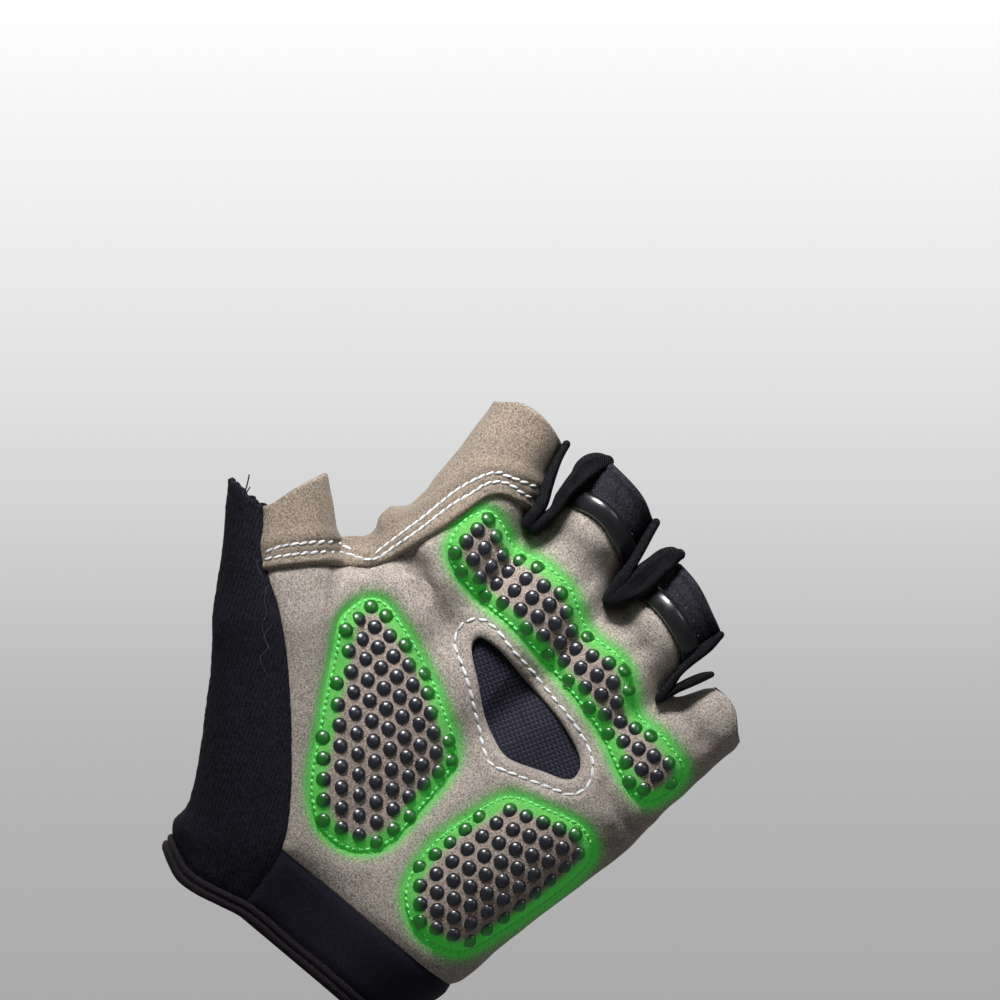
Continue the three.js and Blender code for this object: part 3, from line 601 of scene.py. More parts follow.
def depth_inside(outline, x, z):
    """How far a point lies inside an outline, below nought outside it."""
    inside = np.zeros(np.shape(x), bool)
    for (x0, z0), (x1, z1) in zip(outline, np.roll(outline, -1, axis=0)):
        if z0 != z1:
            inside ^= ((z0 > z) != (z1 > z)) & (x < x0 + (z - z0) / (z1 - z0) * (x1 - x0))
    least = away_from(outline, x, z, closed=True)
    return np.where(inside, least, -least)


def line_length(line):
    return np.concatenate([[0], np.cumsum(np.linalg.norm(np.diff(line, axis=0), axis=1))])


def spaced(line, gap):
    """Points along a line at even distances."""
    at = line_length(line)
    count = max(int(round(at[-1] / gap)), 1)
    where = (np.arange(count) + 0.5) * at[-1] / count
    return np.stack([np.interp(where, at, line[:, k]) for k in range(line.shape[1])], 1)


gusset = smooth_line(GUSSET)
terry_front = smooth_line(TERRY_FRONT)
terry_back = smooth_line(TERRY_BACK)
middle_hem = smooth_line(MIDDLE_HEM)
ring_hem = smooth_line(RING_HEM)
thumb_mouth = smooth_line(THUMB_MOUTH)
index_mouth = smooth_line(INDEX_MOUTH)
middle_mouth = smooth_line(MIDDLE_MOUTH)
ring_mouth = smooth_line(RING_MOUTH)
little_mouth = smooth_line(LITTLE_MOUTH)
window_outline = smooth_line(WINDOW_OUTLINE, closed=True)
pad_outlines = {name: smooth_line(rows, closed=True) for name, rows in PAD_OUTLINES.items()}
seam_stitches = {name: smooth_curve(rows) for name, rows in SEAM_STITCHES.items()}
window_stitches = smooth_curve(WINDOW_STITCHES, closed=True)
band_stitches = {name: smooth_curve(rows) for name, rows in BAND_STITCHES.items()}
wrist_edge = smooth_curve(WRIST_EDGE)

LOWER_LEFT = [[-FAR, -FAR]]
LOWER_RIGHT = [[FAR, little_mouth[-1][1]], [FAR, -FAR]]
palm_region = np.concatenate([LOWER_LEFT, gusset, middle_hem, ring_hem, little_mouth, LOWER_RIGHT])
web_region = np.concatenate([gusset, index_mouth[::-1], thumb_mouth[::-1]])
hand_region = np.concatenate(
    [LOWER_LEFT, thumb_mouth, index_mouth, middle_mouth, ring_mouth, little_mouth, LOWER_RIGHT]
)
middle_band_region = np.concatenate([middle_hem, middle_mouth[::-1]])
ring_band_region = np.concatenate([ring_hem, ring_mouth[::-1]])


def past_line(line):
    """The outline of all that lies on the little finger's side of a line down the hand."""
    return np.concatenate([line, [[FAR, -FAR], [FAR, FAR], [line[0][0], FAR]]])


past_terry_front = past_line(terry_front)
past_terry_back = past_line(terry_back)


def past_terry(points):
    x, y, z = points.T
    return np.where(y < SEAM_Y, depth_inside(past_terry_front, x, z), depth_inside(past_terry_back, x, z))


# ---------------------------------------------------------------------------------------------------
# Cutting and thickening


def trimmed(patch, depth, snap=0.25):
    """The part of a patch where depth is above nought. Points near the cut are moved onto it."""
    step = in_mm(sizes().net_step)
    points = patch.points.copy()
    value = depth(points)
    near = np.abs(value) < snap * step
    if near.any():
        spots = points[near]
        slope = np.empty_like(spots)
        for axis in range(3):
            shift = np.zeros(3)
            shift[axis] = SLOPE_STEP
            slope[:, axis] = (depth(spots + shift) - depth(spots - shift)) / (2 * SLOPE_STEP)
        size = np.maximum((slope**2).sum(1), 0.2)
        points[near] = spots - slope * (value[near] / size)[:, None]
        value[near] = 0
    corner = value[patch.triangles]
    kept = patch.triangles[(corner >= 0).all(1) & (corner > 0).any(1)]
    mixed = patch.triangles[(corner > 0).any(1) & (corner < 0).any(1)]

    added, added_normals, number = [], [], {}

    def crossing(a, b):
        key = (min(a, b), max(a, b))
        if key not in number:
            share = value[a] / (value[a] - value[b])
            number[key] = len(points) + len(added)
            added.append(points[a] + (points[b] - points[a]) * share)
            added_normals.append(patch.normals[a] + (patch.normals[b] - patch.normals[a]) * share)
        return number[key]

    faces = []
    for triangle in mixed.tolist():
        ring = []
        for a, b in zip(triangle, triangle[1:] + triangle[:1]):
            if value[a] >= 0:
                ring.append(a)
            if (value[a] > 0 > value[b]) or (value[a] < 0 < value[b]):
                ring.append(crossing(a, b))
        faces.extend([ring[0], ring[k], ring[k + 1]] for k in range(1, len(ring) - 1))
    if faces:
        kept = np.concatenate([kept, np.array(faces)])
    if added:
        points = np.concatenate([points, np.array(added)])
    normals = np.concatenate([patch.normals, np.array(added_normals)]) if added else patch.normals
    used, triangles = np.unique(kept, return_inverse=True)
    normals = normals[used] / np.linalg.norm(normals[used], axis=1)[:, None]
    return Patch(points[used], normals, triangles.reshape(-1, 3))


def front_only(points):
    return SEAM_Y - points[:, 1]


def within(outline):
    return lambda points: depth_inside(outline, points[:, 0], points[:, 2])


def above(level):
    return lambda points: points[:, 2] - level


def negative(depth):
    return lambda points: -depth(points)


def rim_edges(triangles):
    """The edges that bound a patch, in the order that its faces run along them."""
    edges = np.concatenate([triangles[:, [0, 1]], triangles[:, [1, 2]], triangles[:, [2, 0]]])
    there = {tuple(edge) for edge in edges.tolist()}
    return np.array([edge for edge in there if (edge[1], edge[0]) not in there])


def rim_directions(points, normals, edges):
    """For each point of the rim, the way out of the patch along its surface."""
    out = np.zeros_like(points)
    run = points[edges[:, 1]] - points[edges[:, 0]]
    side = np.cross(run, normals[edges[:, 0]])
    np.add.at(out, edges[:, 0], side)
    np.add.at(out, edges[:, 1], side)
    size = np.linalg.norm(out, axis=1)
    return out / np.maximum(size, 1e-9)[:, None]


RIM_BULGE = 0.3  # of the thickness that a cut edge bulges outwards


def thickened(patch, outer, inner):
    """Points, faces and the source point of each, for a closed wall between two faces with a round edge."""
    count = len(patch.points)
    edges = rim_edges(patch.triangles)
    out = rim_directions(patch.points, patch.normals, edges)
    rim = np.unique(edges)
    place = {int(point): count * 2 + k for k, point in enumerate(rim)}
    thickness = np.linalg.norm(outer[rim] - inner[rim], axis=1)[:, None]
    middle = (outer[rim] + inner[rim]) / 2 + out[rim] * thickness * RIM_BULGE
    points = np.concatenate([outer, inner, middle])
    faces = [patch.triangles, patch.triangles[:, ::-1] + count]
    walls = []
    for a, b in edges.tolist():
        walls += [(b, a, place[a]), (b, place[a], place[b])]
        walls += [(place[b], place[a], a + count), (place[b], a + count, b + count)]
    faces.append(np.array(walls))
    return points, np.concatenate(faces), np.concatenate([np.arange(count), np.arange(count), rim])


# ---------------------------------------------------------------------------------------------------
# Relief


@lru_cache(maxsize=None)
def noise_lattice(seed):
    return np.random.default_rng(seed).uniform(-1, 1, (32, 32, 32))


def noise(points, size, seed):
    """Soft random relief of that size, between -1 and 1."""
    lattice = noise_lattice(seed)
    spot = points / size
    cell = np.floor(spot).astype(int)
    share = spot - cell
    share = share * share * (3 - 2 * share)
    total = np.zeros(len(points))
    for corner in np.ndindex(2, 2, 2):
        weight = np.prod(np.where(corner, share, 1 - share), axis=1)
        total += weight * lattice[tuple(((cell + corner) % 32).T)]
    return total


def bump(distance, width):
    return np.exp(-((distance / width) ** 2))


def fold_relief(x, z):
    relief = np.zeros(len(x))
    for x0, z0, x1, z1, half_width, depth in FOLDS:
        relief -= depth * bump(segment_distance(x, z, x0, z0, x1, z1), half_width)
    return relief


def web_swell(x, z):
    swell = np.zeros(len(x))
    for x0, z0, x1, z1, radius, height in WEB_SWELLS:
        swell += height * bump(segment_distance(x, z, x0, z0, x1, z1), radius)
    return swell


def wrist_lift(x, y):
    """How far the wrist's edge is drawn up: as the table says on the palm's side, and evenly on the back."""
    front = np.interp(x, wrist_edge[:, 0], wrist_edge[:, 1])
    return front + (np.interp(x, (-36, -28), (3.0, 1.0)) - front) * smooth_step(y, -2, 8)


LAP_STEP = (4.6, 8.5)  # from the web's edge, where its raised hem starts to fall and where it ends


def palm_relief(points):
    """How far the palm's suede stands off the form."""
    x, y, z = points.T
    relief = fold_relief(x, z) * smooth_step(-y, 0, 6)
    relief += 0.25 * noise(points, 9, 3) + 0.08 * noise(points, 4, 4) + 0.05 * noise(points, 1.7, 5)
    window = -depth_inside(window_outline, x, z)
    front = y < 0
    relief += np.where(front, 0.4 * bump(window - 0.9, 1.1), 0)
    relief -= np.where(front, 0.4 * bump(away_from(window_stitches, x, z, closed=True), 0.6), 0)
    relief += np.where(front, 0.3 * bump(window - 4.6, 1.4), 0)
    relief -= np.where(front, 0.7 * bump(away_from(gusset, x, z) - 0.5, 1.4), 0)
    for outline in pad_outlines.values():
        edge = depth_inside(outline, x, z)
        relief -= np.where(front, 0.8 * bump(edge, 1.3), 0)
        relief += np.where(front, 0.3 * bump(edge + 4.5, 2.5), 0)
    return relief


def sunk_edges(patch, keep=()):
    """How far each point of a panel sinks because a seam is near. Open edges in keep don't sink."""
    s = sizes()
    edges = rim_edges(patch.triangles)
    rim = np.unique(edges)
    spots = patch.points[rim]
    for line in keep:
        spots = spots[away_from(line, spots[:, 0], spots[:, 2]) > 1.5]
    if len(spots) == 0:
        return np.zeros(len(patch.points))
    tree = near_tree(spots)
    reach = in_mm(s.seam_reach)
    distance = np.array([tree.find(point)[2] for point in patch.points])
    return -in_mm(s.seam_depth) * bump(distance, reach)


def near_tree(points):
    tree = KDTree(len(points))
    for i, point in enumerate(points):
        tree.insert(point, i)
    tree.balance()
    return tree


# ---------------------------------------------------------------------------------------------------
# Meshes


def mesh_object(name, points, faces, material, attributes=None, smooth=True):
    """A closed mesh in the scene, from points in millimetres."""
    mesh = bpy.data.meshes.new(name)
    mesh.from_pydata((np.asarray(points) * MM).tolist(), [], [list(map(int, face)) for face in faces])
    mesh.update()
    for key, values in (attributes or {}).items():
        attribute = mesh.attributes.new(key, "FLOAT", "POINT")
        attribute.data.foreach_set("value", np.asarray(values, np.float32))
    mesh.materials.append(material)
    if smooth:
        mesh.shade_smooth()
    obj = bpy.data.objects.new(name, mesh)
    bpy.context.collection.objects.link(obj)
    return obj


def finished(obj, node):
    """Attaches a piece to the root body and hides the solid that it stands for."""
    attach(obj, "root")
    if node:
        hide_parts(node)
    return obj


def fabric(name, patch, relief, wall, material, attributes=None, swell=0.0):
    """A panel of fabric with that relief on its face. Both faces stand off by the swell."""
    outer = patch.points + patch.normals * np.asarray(relief + swell)[:, None]
    inner = patch.points + patch.normals * np.asarray(swell - wall + 0 * relief)[:, None]
    points, faces, source = thickened(patch, outer, inner)
    per_point = {key: outer_only(values, source) for key, values in (attributes or {}).items()}
    return mesh_object(name, points, faces, material, per_point)


def outer_only(values, source):
    """The points' values on the outer face and the rim of a thickened panel, and nothing on the inner one."""
    count = len(values)
    shared = np.asarray(values)[source]
    shared[count:2 * count] = 0
    return shared


def surface_tree(*objs):
    """What a ray along the hand's depth meets first."""
    points, faces, offset = [], [], 0
    for obj in objs:
        mesh = obj.data
        points += [vertex.co for vertex in mesh.vertices]
        faces += [[v + offset for v in polygon.vertices] for polygon in mesh.polygons]
        offset += len(mesh.vertices)
    return BVHTree.FromPolygons(points, faces)


def on_front(tree, x, z):
    """The point of the palm's face at x and z, and the way it faces, in millimetres."""
    spot, normal, _, _ = tree.ray_cast(Vector((x * MM, -0.2, z * MM)), Vector((0, 1, 0)))
    if spot is None:
        return None
    return np.array(spot) / MM, np.array(normal)


CLOTH_SCALE = 10.0  # the cloth is blown up at this size, because small cloth is stiff
CLOTH_FRAMES = 20
CLOTH_PRESSURE = 6.0


def blown_up(points, triangles, held):
    """A sheet of cloth after pressure from below. The held points stay in place."""
    mesh = bpy.data.meshes.new("Blown cloth")
    mesh.from_pydata((points * MM * CLOTH_SCALE).tolist(), [], triangles.tolist())
    obj = bpy.data.objects.new("Blown cloth", mesh)
    bpy.context.collection.objects.link(obj)
    group = obj.vertex_groups.new(name="held")
    group.add(np.flatnonzero(held).tolist(), 1.0, "REPLACE")
    cloth = obj.modifiers.new("Cloth", "CLOTH")
    cloth.settings.vertex_group_mass = "held"
    cloth.settings.use_pressure = True
    cloth.settings.uniform_pressure_force = CLOTH_PRESSURE
    cloth.settings.effector_weights.gravity = 0
    cloth.settings.quality = 5
    cloth.collision_settings.use_collision = False
    cloth.point_cache.frame_start = 1
    cloth.point_cache.frame_end = CLOTH_FRAMES
    for frame in range(1, CLOTH_FRAMES + 1):
        bpy.context.scene.frame_set(frame)
    result = obj.evaluated_get(bpy.context.evaluated_depsgraph_get()).data
    spots = np.empty(len(points) * 3)
    result.vertices.foreach_get("co", spots)
    bpy.data.objects.remove(obj)
    bpy.data.meshes.remove(mesh)
    bpy.context.scene.frame_set(1)
    return spots.reshape(-1, 3) / (MM * CLOTH_SCALE)


# ---------------------------------------------------------------------------------------------------
# Materials


class Finish:
    """A node material while it is being put together."""

    def __init__(self, name):
        self.material = bpy.data.materials.new(name)
        self.material.use_nodes = True
        self.tree = self.material.node_tree
        self.shader = self.tree.nodes["Principled BSDF"]
        place = self.node("ShaderNodeTexCoord")
        self.place = self.maths("SCALE", place.outputs["Object"], Scale=1 / MM)

    def node(self, kind, inputs=None, **settings):
        made = self.tree.nodes.new(kind)
        for key, value in settings.items():
            setattr(made, key, value)
        for key, value in (inputs or {}).items():
            self.put(made.inputs[key], value)
        return made

    def put(self, socket, value):
        if isinstance(value, bpy.types.NodeSocket):
            self.tree.links.new(value, socket)
        else:
            socket.default_value = value

    def maths(self, operation, *vectors, **inputs):
        made = self.node("ShaderNodeVectorMath", inputs, operation=operation)
        for k, vector in enumerate(vectors):
            self.put(made.inputs[k], vector)
        return made.outputs["Vector"]

    def sum(self, operation, *values):
        made = self.node("ShaderNodeMath", operation=operation)
        for k, value in enumerate(values):
            self.put(made.inputs[k], value)
        return made.outputs[0]

    def grain(self, size, detail=2.0, roughness=0.5, vector=None):
        """Noise with grains of that size in millimetres."""
        made = self.node("ShaderNodeTexNoise", {
            "Vector": vector or self.place, "Scale": 1 / size, "Detail": detail, "Roughness": roughness,
        })
        return made.outputs["Fac"]

    def spread(self, value, low, high, to_low=0.0, to_high=1.0, kind="LINEAR"):
        made = self.node("ShaderNodeMapRange", {
            "Value": value, "From Min": low, "From Max": high, "To Min": to_low, "To Max": to_high,
        }, interpolation_type=kind)
        return made.outputs["Result"]

    def mixed(self, share, first, second, blend="MIX"):
        made = self.node("ShaderNodeMix", data_type="RGBA", blend_type=blend)
        self.put(made.inputs[0], share)
        for socket, value in ((made.inputs[6], first), (made.inputs[7], second)):
            self.put(socket, value if isinstance(value, bpy.types.NodeSocket) else (*value, 1.0))
        return made.outputs[2]

    def attribute(self, name):
        return self.node("ShaderNodeAttribute", attribute_name=name).outputs["Fac"]

    def relief(self, height, distance, strength=1.0):
        made = self.node("ShaderNodeBump", {
            "Height": height, "Distance": distance * MM, "Strength": strength,
        })
        self.put(self.shader.inputs["Normal"], made.outputs["Normal"])

    def shade(self, **values):
        for key, value in values.items():
            self.put(self.shader.inputs[key.replace("_", " ")], value)
        return self.material


def scaled(rgb, by):
    return tuple(channel * by for channel in rgb)


GLOW_DYE = 0.66  # share of green in the dyed rim round a pad
GLOW_SHINE = (0.0, 0.13, 0.006)  # painted green glow that the rim gives off by itself, on top of the lit dye


def suede(name, base, green=None):
    """Napped suede: soft patches, fine nap, painted shade in folds and creases, and green dye with a painted green glow
    near the pads.
    """
    f = Finish(name)
    patches = f.spread(f.grain(5.0, 5.0, 0.6), 0.3, 0.7)
    tone = f.mixed(patches, scaled(base, 0.93), scaled(base, 1.06))
    nap = f.grain(0.42, 2.0, 0.5)
    factor = f.spread(nap, 0.25, 0.75, 0.36, 1.64)
    tone = f.maths("SCALE", tone, Scale=factor)
    # Painted shade: darkened where the points' attribute marks folds, creases and the lapped seam's edge
    tone = f.mixed(f.attribute("painted_shade"), tone, (0.4, 0.38, 0.38), "MULTIPLY")
    if green is not None:
        glow = f.attribute("glow")
        tone = f.mixed(f.spread(glow, 0.0, 1.0, 0.0, GLOW_DYE), tone, green)
        # Painted glow: the green rim gives off light of its own
        shine = f.mixed(glow, (0.0, 0.0, 0.0), GLOW_SHINE)
        f.shade(Emission_Color=shine, Emission_Strength=1.0)
    f.relief(nap, 0.22, 0.8)
    return f.shade(
        Base_Color=tone, Roughness=0.95, Specular_IOR_Level=0.08, Sheen_Weight=0.12, Sheen_Roughness=0.5,
    )


def black_cloth(name, base, size, gloss=0.9, sheen=0.0, wales=None, ribs=None):
    """Fine black fabric with a grain of that size, and with knitted wales or woven ribs if they are given."""
    f = Finish(name)
    grain = f.grain(size, 3.0, 0.65)
    height = grain
    if wales is not None:
        across = f.node("ShaderNodeVectorMath", {0: f.place, 1: (1.0, 0.0, 0.38)}, operation="DOT_PRODUCT")
        drift = f.sum("MULTIPLY", f.grain(4.0, 2.0), 3.0)
        turns = f.sum("ADD", f.sum("MULTIPLY", across.outputs["Value"], 2 * math.pi / wales), drift)
        height = f.sum("ADD", grain, f.sum("MULTIPLY", f.sum("SINE", turns), 0.07))
    if ribs is not None:
        wave = f.sum("SINE", f.sum("MULTIPLY", f.attribute("run"), 2 * math.pi / ribs))
        height = f.sum("ADD", f.sum("MULTIPLY", grain, 0.5), f.sum("MULTIPLY", wave, 0.45))
    tone = f.mixed(f.spread(height, 0.32, 0.75), scaled(base, 0.3), scaled(base, 2.6))
    f.relief(height, size * 0.45, 0.8)
    return f.shade(
        Base_Color=tone, Roughness=gloss, Specular_IOR_Level=0.16, Sheen_Weight=sheen, Sheen_Roughness=0.5,
    )


def thread_finish(name, base):
    """Twisted sewing thread."""
    f = Finish(name)
    strands = f.grain(0.3, 2.0)
    tone = f.mixed(f.spread(strands, 0.3, 0.7), scaled(base, 0.7), base)
    f.relief(strands, 0.08, 0.6)
    return f.shade(Base_Color=tone, Roughness=0.6, Specular_IOR_Level=0.3, Sheen_Weight=0.1, Sheen_Roughness=0.5)


def glossy(name, base, roughness, green=None):
    """Glossy rubber or plastic, smeared a little, and green with a painted glow near the pads' rims."""
    f = Finish(name)
    smear = f.grain(1.5, 3.0)
    tone = f.mixed(smear, scaled(base, 0.8), scaled(base, 1.25))
    if green is not None:
        tone = f.mixed(f.attribute("glow"), tone, green)
        # Painted glow: domes near the rim give off a little green light of their own
        shine = f.mixed(f.attribute("glow"), (0.0, 0.0, 0.0), scaled(GLOW_SHINE, 0.3))
        f.shade(Emission_Color=shine, Emission_Strength=1.0)
    f.relief(smear, 0.05, 0.3)
    return f.shade(
        Base_Color=tone, Roughness=f.spread(smear, 0.2, 0.8, roughness * 0.8, roughness * 1.3),
        Specular_IOR_Level=0.6, Coat_Weight=0.8, Coat_Roughness=0.1,
    )


# ---------------------------------------------------------------------------------------------------
# Geometry Nodes


@lru_cache(maxsize=1)
def bead_tree():
    """Rounded beads, such as stitches or domes, one on each point. The points' attributes along and up say
    how each one lies."""
    tree = bpy.data.node_groups.new("Glove Beads", "GeometryNodeTree")
    tree.interface.new_socket("Geometry", in_out="INPUT", socket_type="NodeSocketGeometry")
    for name, kind, value in (
        ("Length", "NodeSocketFloat", 0.002), ("Width", "NodeSocketFloat", 0.001),
        ("Height", "NodeSocketFloat", 0.001), ("Jitter", "NodeSocketFloat", 0.0),
        ("Segments", "NodeSocketInt", 8), ("Rings", "NodeSocketInt", 6), ("Seed", "NodeSocketInt", 1),
    ):
        tree.interface.new_socket(name, in_out="INPUT", socket_type=kind).default_value = value
    tree.interface.new_socket("Material", in_out="INPUT", socket_type="NodeSocketMaterial")
    tree.interface.new_socket("Geometry", in_out="OUTPUT", socket_type="NodeSocketGeometry")

    def node(kind, inputs=None, **settings):
        made = tree.nodes.new(kind)
        for key, value in settings.items():
            setattr(made, key, value)
        for key, value in (inputs or {}).items():
            if isinstance(value, bpy.types.NodeSocket):
                tree.links.new(value, made.inputs[key])
            else:
                made.inputs[key].default_value = value
        return made

    source = node("NodeGroupInput").outputs
    along = node("GeometryNodeInputNamedAttribute", {"Name": "along"}, data_type="FLOAT_VECTOR")
    up = node("GeometryNodeInputNamedAttribute", {"Name": "up"}, data_type="FLOAT_VECTOR")
    lie = node("FunctionNodeAlignRotationToVector", {"Vector": along.outputs["Attribute"]}, axis="X")
    lie = node(
        "FunctionNodeAlignRotationToVector",
        {"Rotation": lie.outputs["Rotation"], "Vector": up.outputs["Attribute"]}, axis="Z", pivot_axis="X",
    )
    low = node("ShaderNodeMath", {0: 1.0, 1: source["Jitter"]}, operation="SUBTRACT")
    high = node("ShaderNodeMath", {0: 1.0, 1: source["Jitter"]}, operation="ADD")
    chance = node("FunctionNodeRandomValue", {"Seed": source["Seed"]}, data_type="FLOAT")
    tree.links.new(low.outputs[0], chance.inputs[2])
    tree.links.new(high.outputs[0], chance.inputs[3])
    size = node(
        "ShaderNodeCombineXYZ",
        {"X": source["Length"], "Y": source["Width"], "Z": source["Height"]},
    )
    size = node("ShaderNodeVectorMath", {0: size.outputs[0], "Scale": chance.outputs[1]}, operation="SCALE")
    bead = node(
        "GeometryNodeMeshUVSphere",
        {"Segments": source["Segments"], "Rings": source["Rings"], "Radius": 0.5},
    )
    placed = node(
        "GeometryNodeInstanceOnPoints",
        {
            "Points": source["Geometry"], "Instance": bead.outputs["Mesh"],
            "Rotation": lie.outputs["Rotation"], "Scale": size.outputs["Vector"],
        },
    )
    real = node("GeometryNodeRealizeInstances", {"Geometry": placed.outputs["Instances"]})
    round_ = node("GeometryNodeSetShadeSmooth", {"Geometry": real.outputs["Geometry"]})
    dressed = node(
        "GeometryNodeSetMaterial", {"Geometry": round_.outputs["Geometry"], "Material": source["Material"]},
    )
    node("NodeGroupOutput", {"Geometry": dressed.outputs["Geometry"]})
    return tree


def beads(name, places, length_mm, width_mm, height_mm, material, jitter=0.0, segments=8, rings=6, seed=1):
    """One mesh of beads. places holds a point, a direction along and one up for each."""
    points = np.array([place[0] for place in places]) * MM
    mesh = bpy.data.meshes.new(name)
    mesh.from_pydata(points.tolist(), [], [])
    for key, column in (("along", 1), ("up", 2)):
        attribute = mesh.attributes.new(key, "FLOAT_VECTOR", "POINT")
        attribute.data.foreach_set("vector", np.array([place[column] for place in places]).ravel())
    obj = bpy.data.objects.new(name, mesh)
    bpy.context.collection.objects.link(obj)
    modifier = obj.modifiers.new("Beads", "NODES")
    values = {
        "Length": length_mm * MM, "Width": width_mm * MM, "Height": height_mm * MM, "Jitter": jitter,
        "Segments": segments, "Rings": rings, "Seed": seed, "Material": material,
    }
    tree = bead_tree()
    for item in tree.interface.items_tree:
        if item.in_out == "INPUT" and item.name in values:
            modifier[item.identifier] = values[item.name]
    modifier.node_group = tree
    for item in tree.interface.items_tree:
        if item.in_out == "INPUT" and item.name in values:
            modifier[item.identifier] = values[item.name]
    graph = bpy.context.evaluated_depsgraph_get()
    baked = bpy.data.meshes.new_from_object(obj.evaluated_get(graph))
    obj.modifiers.clear()
    obj.data = baked
    return obj


def stitch_places(tree, line, gap, turn=0.0, lift=0.12, closed=False):
    """Where stitches lie along a line on the palm's face."""
    if closed:
        line = np.concatenate([line, line[:1]])
    spots = spaced(line, gap)
    places = []
    for i, (x, z) in enumerate(spots):
        x1, z1 = spots[(i + 1) % len(spots)] if closed or i + 1 < len(spots) else (x, z)
        x0, z0 = spots[i - 1] if closed or i > 0 else (x, z)
        here = on_front(tree, x, z)
        run = np.array([x1 - x0, 0, z1 - z0])
        run /= max(np.linalg.norm(run), 1e-9)
        ahead = on_front(tree, x + run[0] * 0.8, z + run[2] * 0.8)
        behind = on_front(tree, x - run[0] * 0.8, z - run[2] * 0.8)
        if here is None or ahead is None or behind is None:
            continue
        along = ahead[0] - behind[0]
        along /= np.linalg.norm(along)
        up = here[1]
        side = np.cross(up, along)
        along = along * math.cos(turn) + side * math.sin(turn)
        places.append((here[0] + up * lift, along, up))
    return places


# ---------------------------------------------------------------------------------------------------
# Pieces made once and used by several operators

made = {}


def panel(depths):
    patch = form_patch()
    for depth in depths:
        patch = trimmed(patch, depth)
    return patch


def pad_glow(x, y, z):
    """How green the suede is and how much painted green glow it gives off, from the pads' outlines outwards."""
    glow = np.zeros(len(x))
    for outline in pad_outlines.values():
        edge = -depth_inside(outline, x, z)
        glow = np.maximum(glow, 0.75 * smooth_step(-edge, -2.6, -0.2) + 0.25 * smooth_step(-edge, -4.4, -0.5))
    return np.where(y < 0, glow, 0)


def folds_shade(x, z):
    shade = np.zeros(len(x))
    for x0, z0, x1, z1, half_width, depth in FOLDS:
        if depth > 0:
            away = segment_distance(x, z, x0, z0, x1, z1)
            shade = np.maximum(shade, 0.32 * min(depth, 1) * bump(away, half_width * 0.7))
    return shade


LAP_UNDER = 3.5  # how far the palm runs on under the web


class GLOVE_OT_suede_panels(bpy.types.Operator):
    """Makes the palm and the browner web piece that laps it"""

    bl_idname = "glove.suede_panels"
    bl_label = "Suede Panels"

    def execute(self, context):
        s, c = sizes(), colours()
        wall = in_mm(s.wall)

        def palm_with_lap(points):
            x, _, z = points.T
            return np.maximum(
                depth_inside(palm_region, x, z),
                np.where(depth_inside(web_region, x, z) > 0, LAP_UNDER - away_from(gusset, x, z), -FAR),
            )

        patch = panel([
            front_only, palm_with_lap, past_terry, above(CUFF_TOP + 0.1), negative(within(window_outline)),
        ])
        x, y, z = patch.points.T
        lap = away_from(gusset, x, z)
        under = np.maximum(depth_inside(web_region, x, z), 0)
        relief = palm_relief(patch.points) + sunk_edges(patch, keep=[gusset]) - 0.35 * under
        # Painted shade: darker in the fold valleys and in a thin line on the palm along the web's lapped edge
        shade = np.maximum(folds_shade(x, z), np.where(y < 0, 0.75 * bump(lap, 0.55), 0))
        attributes = {"glow": pad_glow(x, y, z), "painted_shade": shade}
        made["palm"] = finished(
            fabric("palm_suede", patch, relief, wall, suede("Palm suede", c.palm_suede, c.green), attributes),
            "palm_panel",
        )

        patch = panel([front_only, within(web_region), past_terry])
        x, y, z = patch.points.T
        lap = away_from(gusset, x, z)
        rows = np.minimum.reduce([away_from(line, x, z) for line in seam_stitches.values()])
        relief = 0.25 * noise(patch.points, 9, 7) + 0.12 * noise(patch.points, 4, 8)
        relief += 0.05 * noise(patch.points, 1.7, 9)
        relief += sunk_edges(patch, keep=[gusset, index_mouth, thumb_mouth])
        relief += in_mm(s.lap_rise) * smooth_step(-lap, -LAP_STEP[1], -LAP_STEP[0]) - 0.45 * bump(rows, 0.6)
        # Painted shade: darker where the raised hem falls away and along the sunk stitch rows
        shade = 0.35 * bump(lap - LAP_STEP[0] - 1.2, 1.2) + 0.25 * bump(rows, 0.5)
        made["web"] = finished(
            fabric(
                "web_suede", patch, relief, wall, suede("Web suede", c.web_suede), {"painted_shade": shade},
                swell=web_swell(x, z),
            ),
            "web_panel",
        )
        return {"FINISHED"}


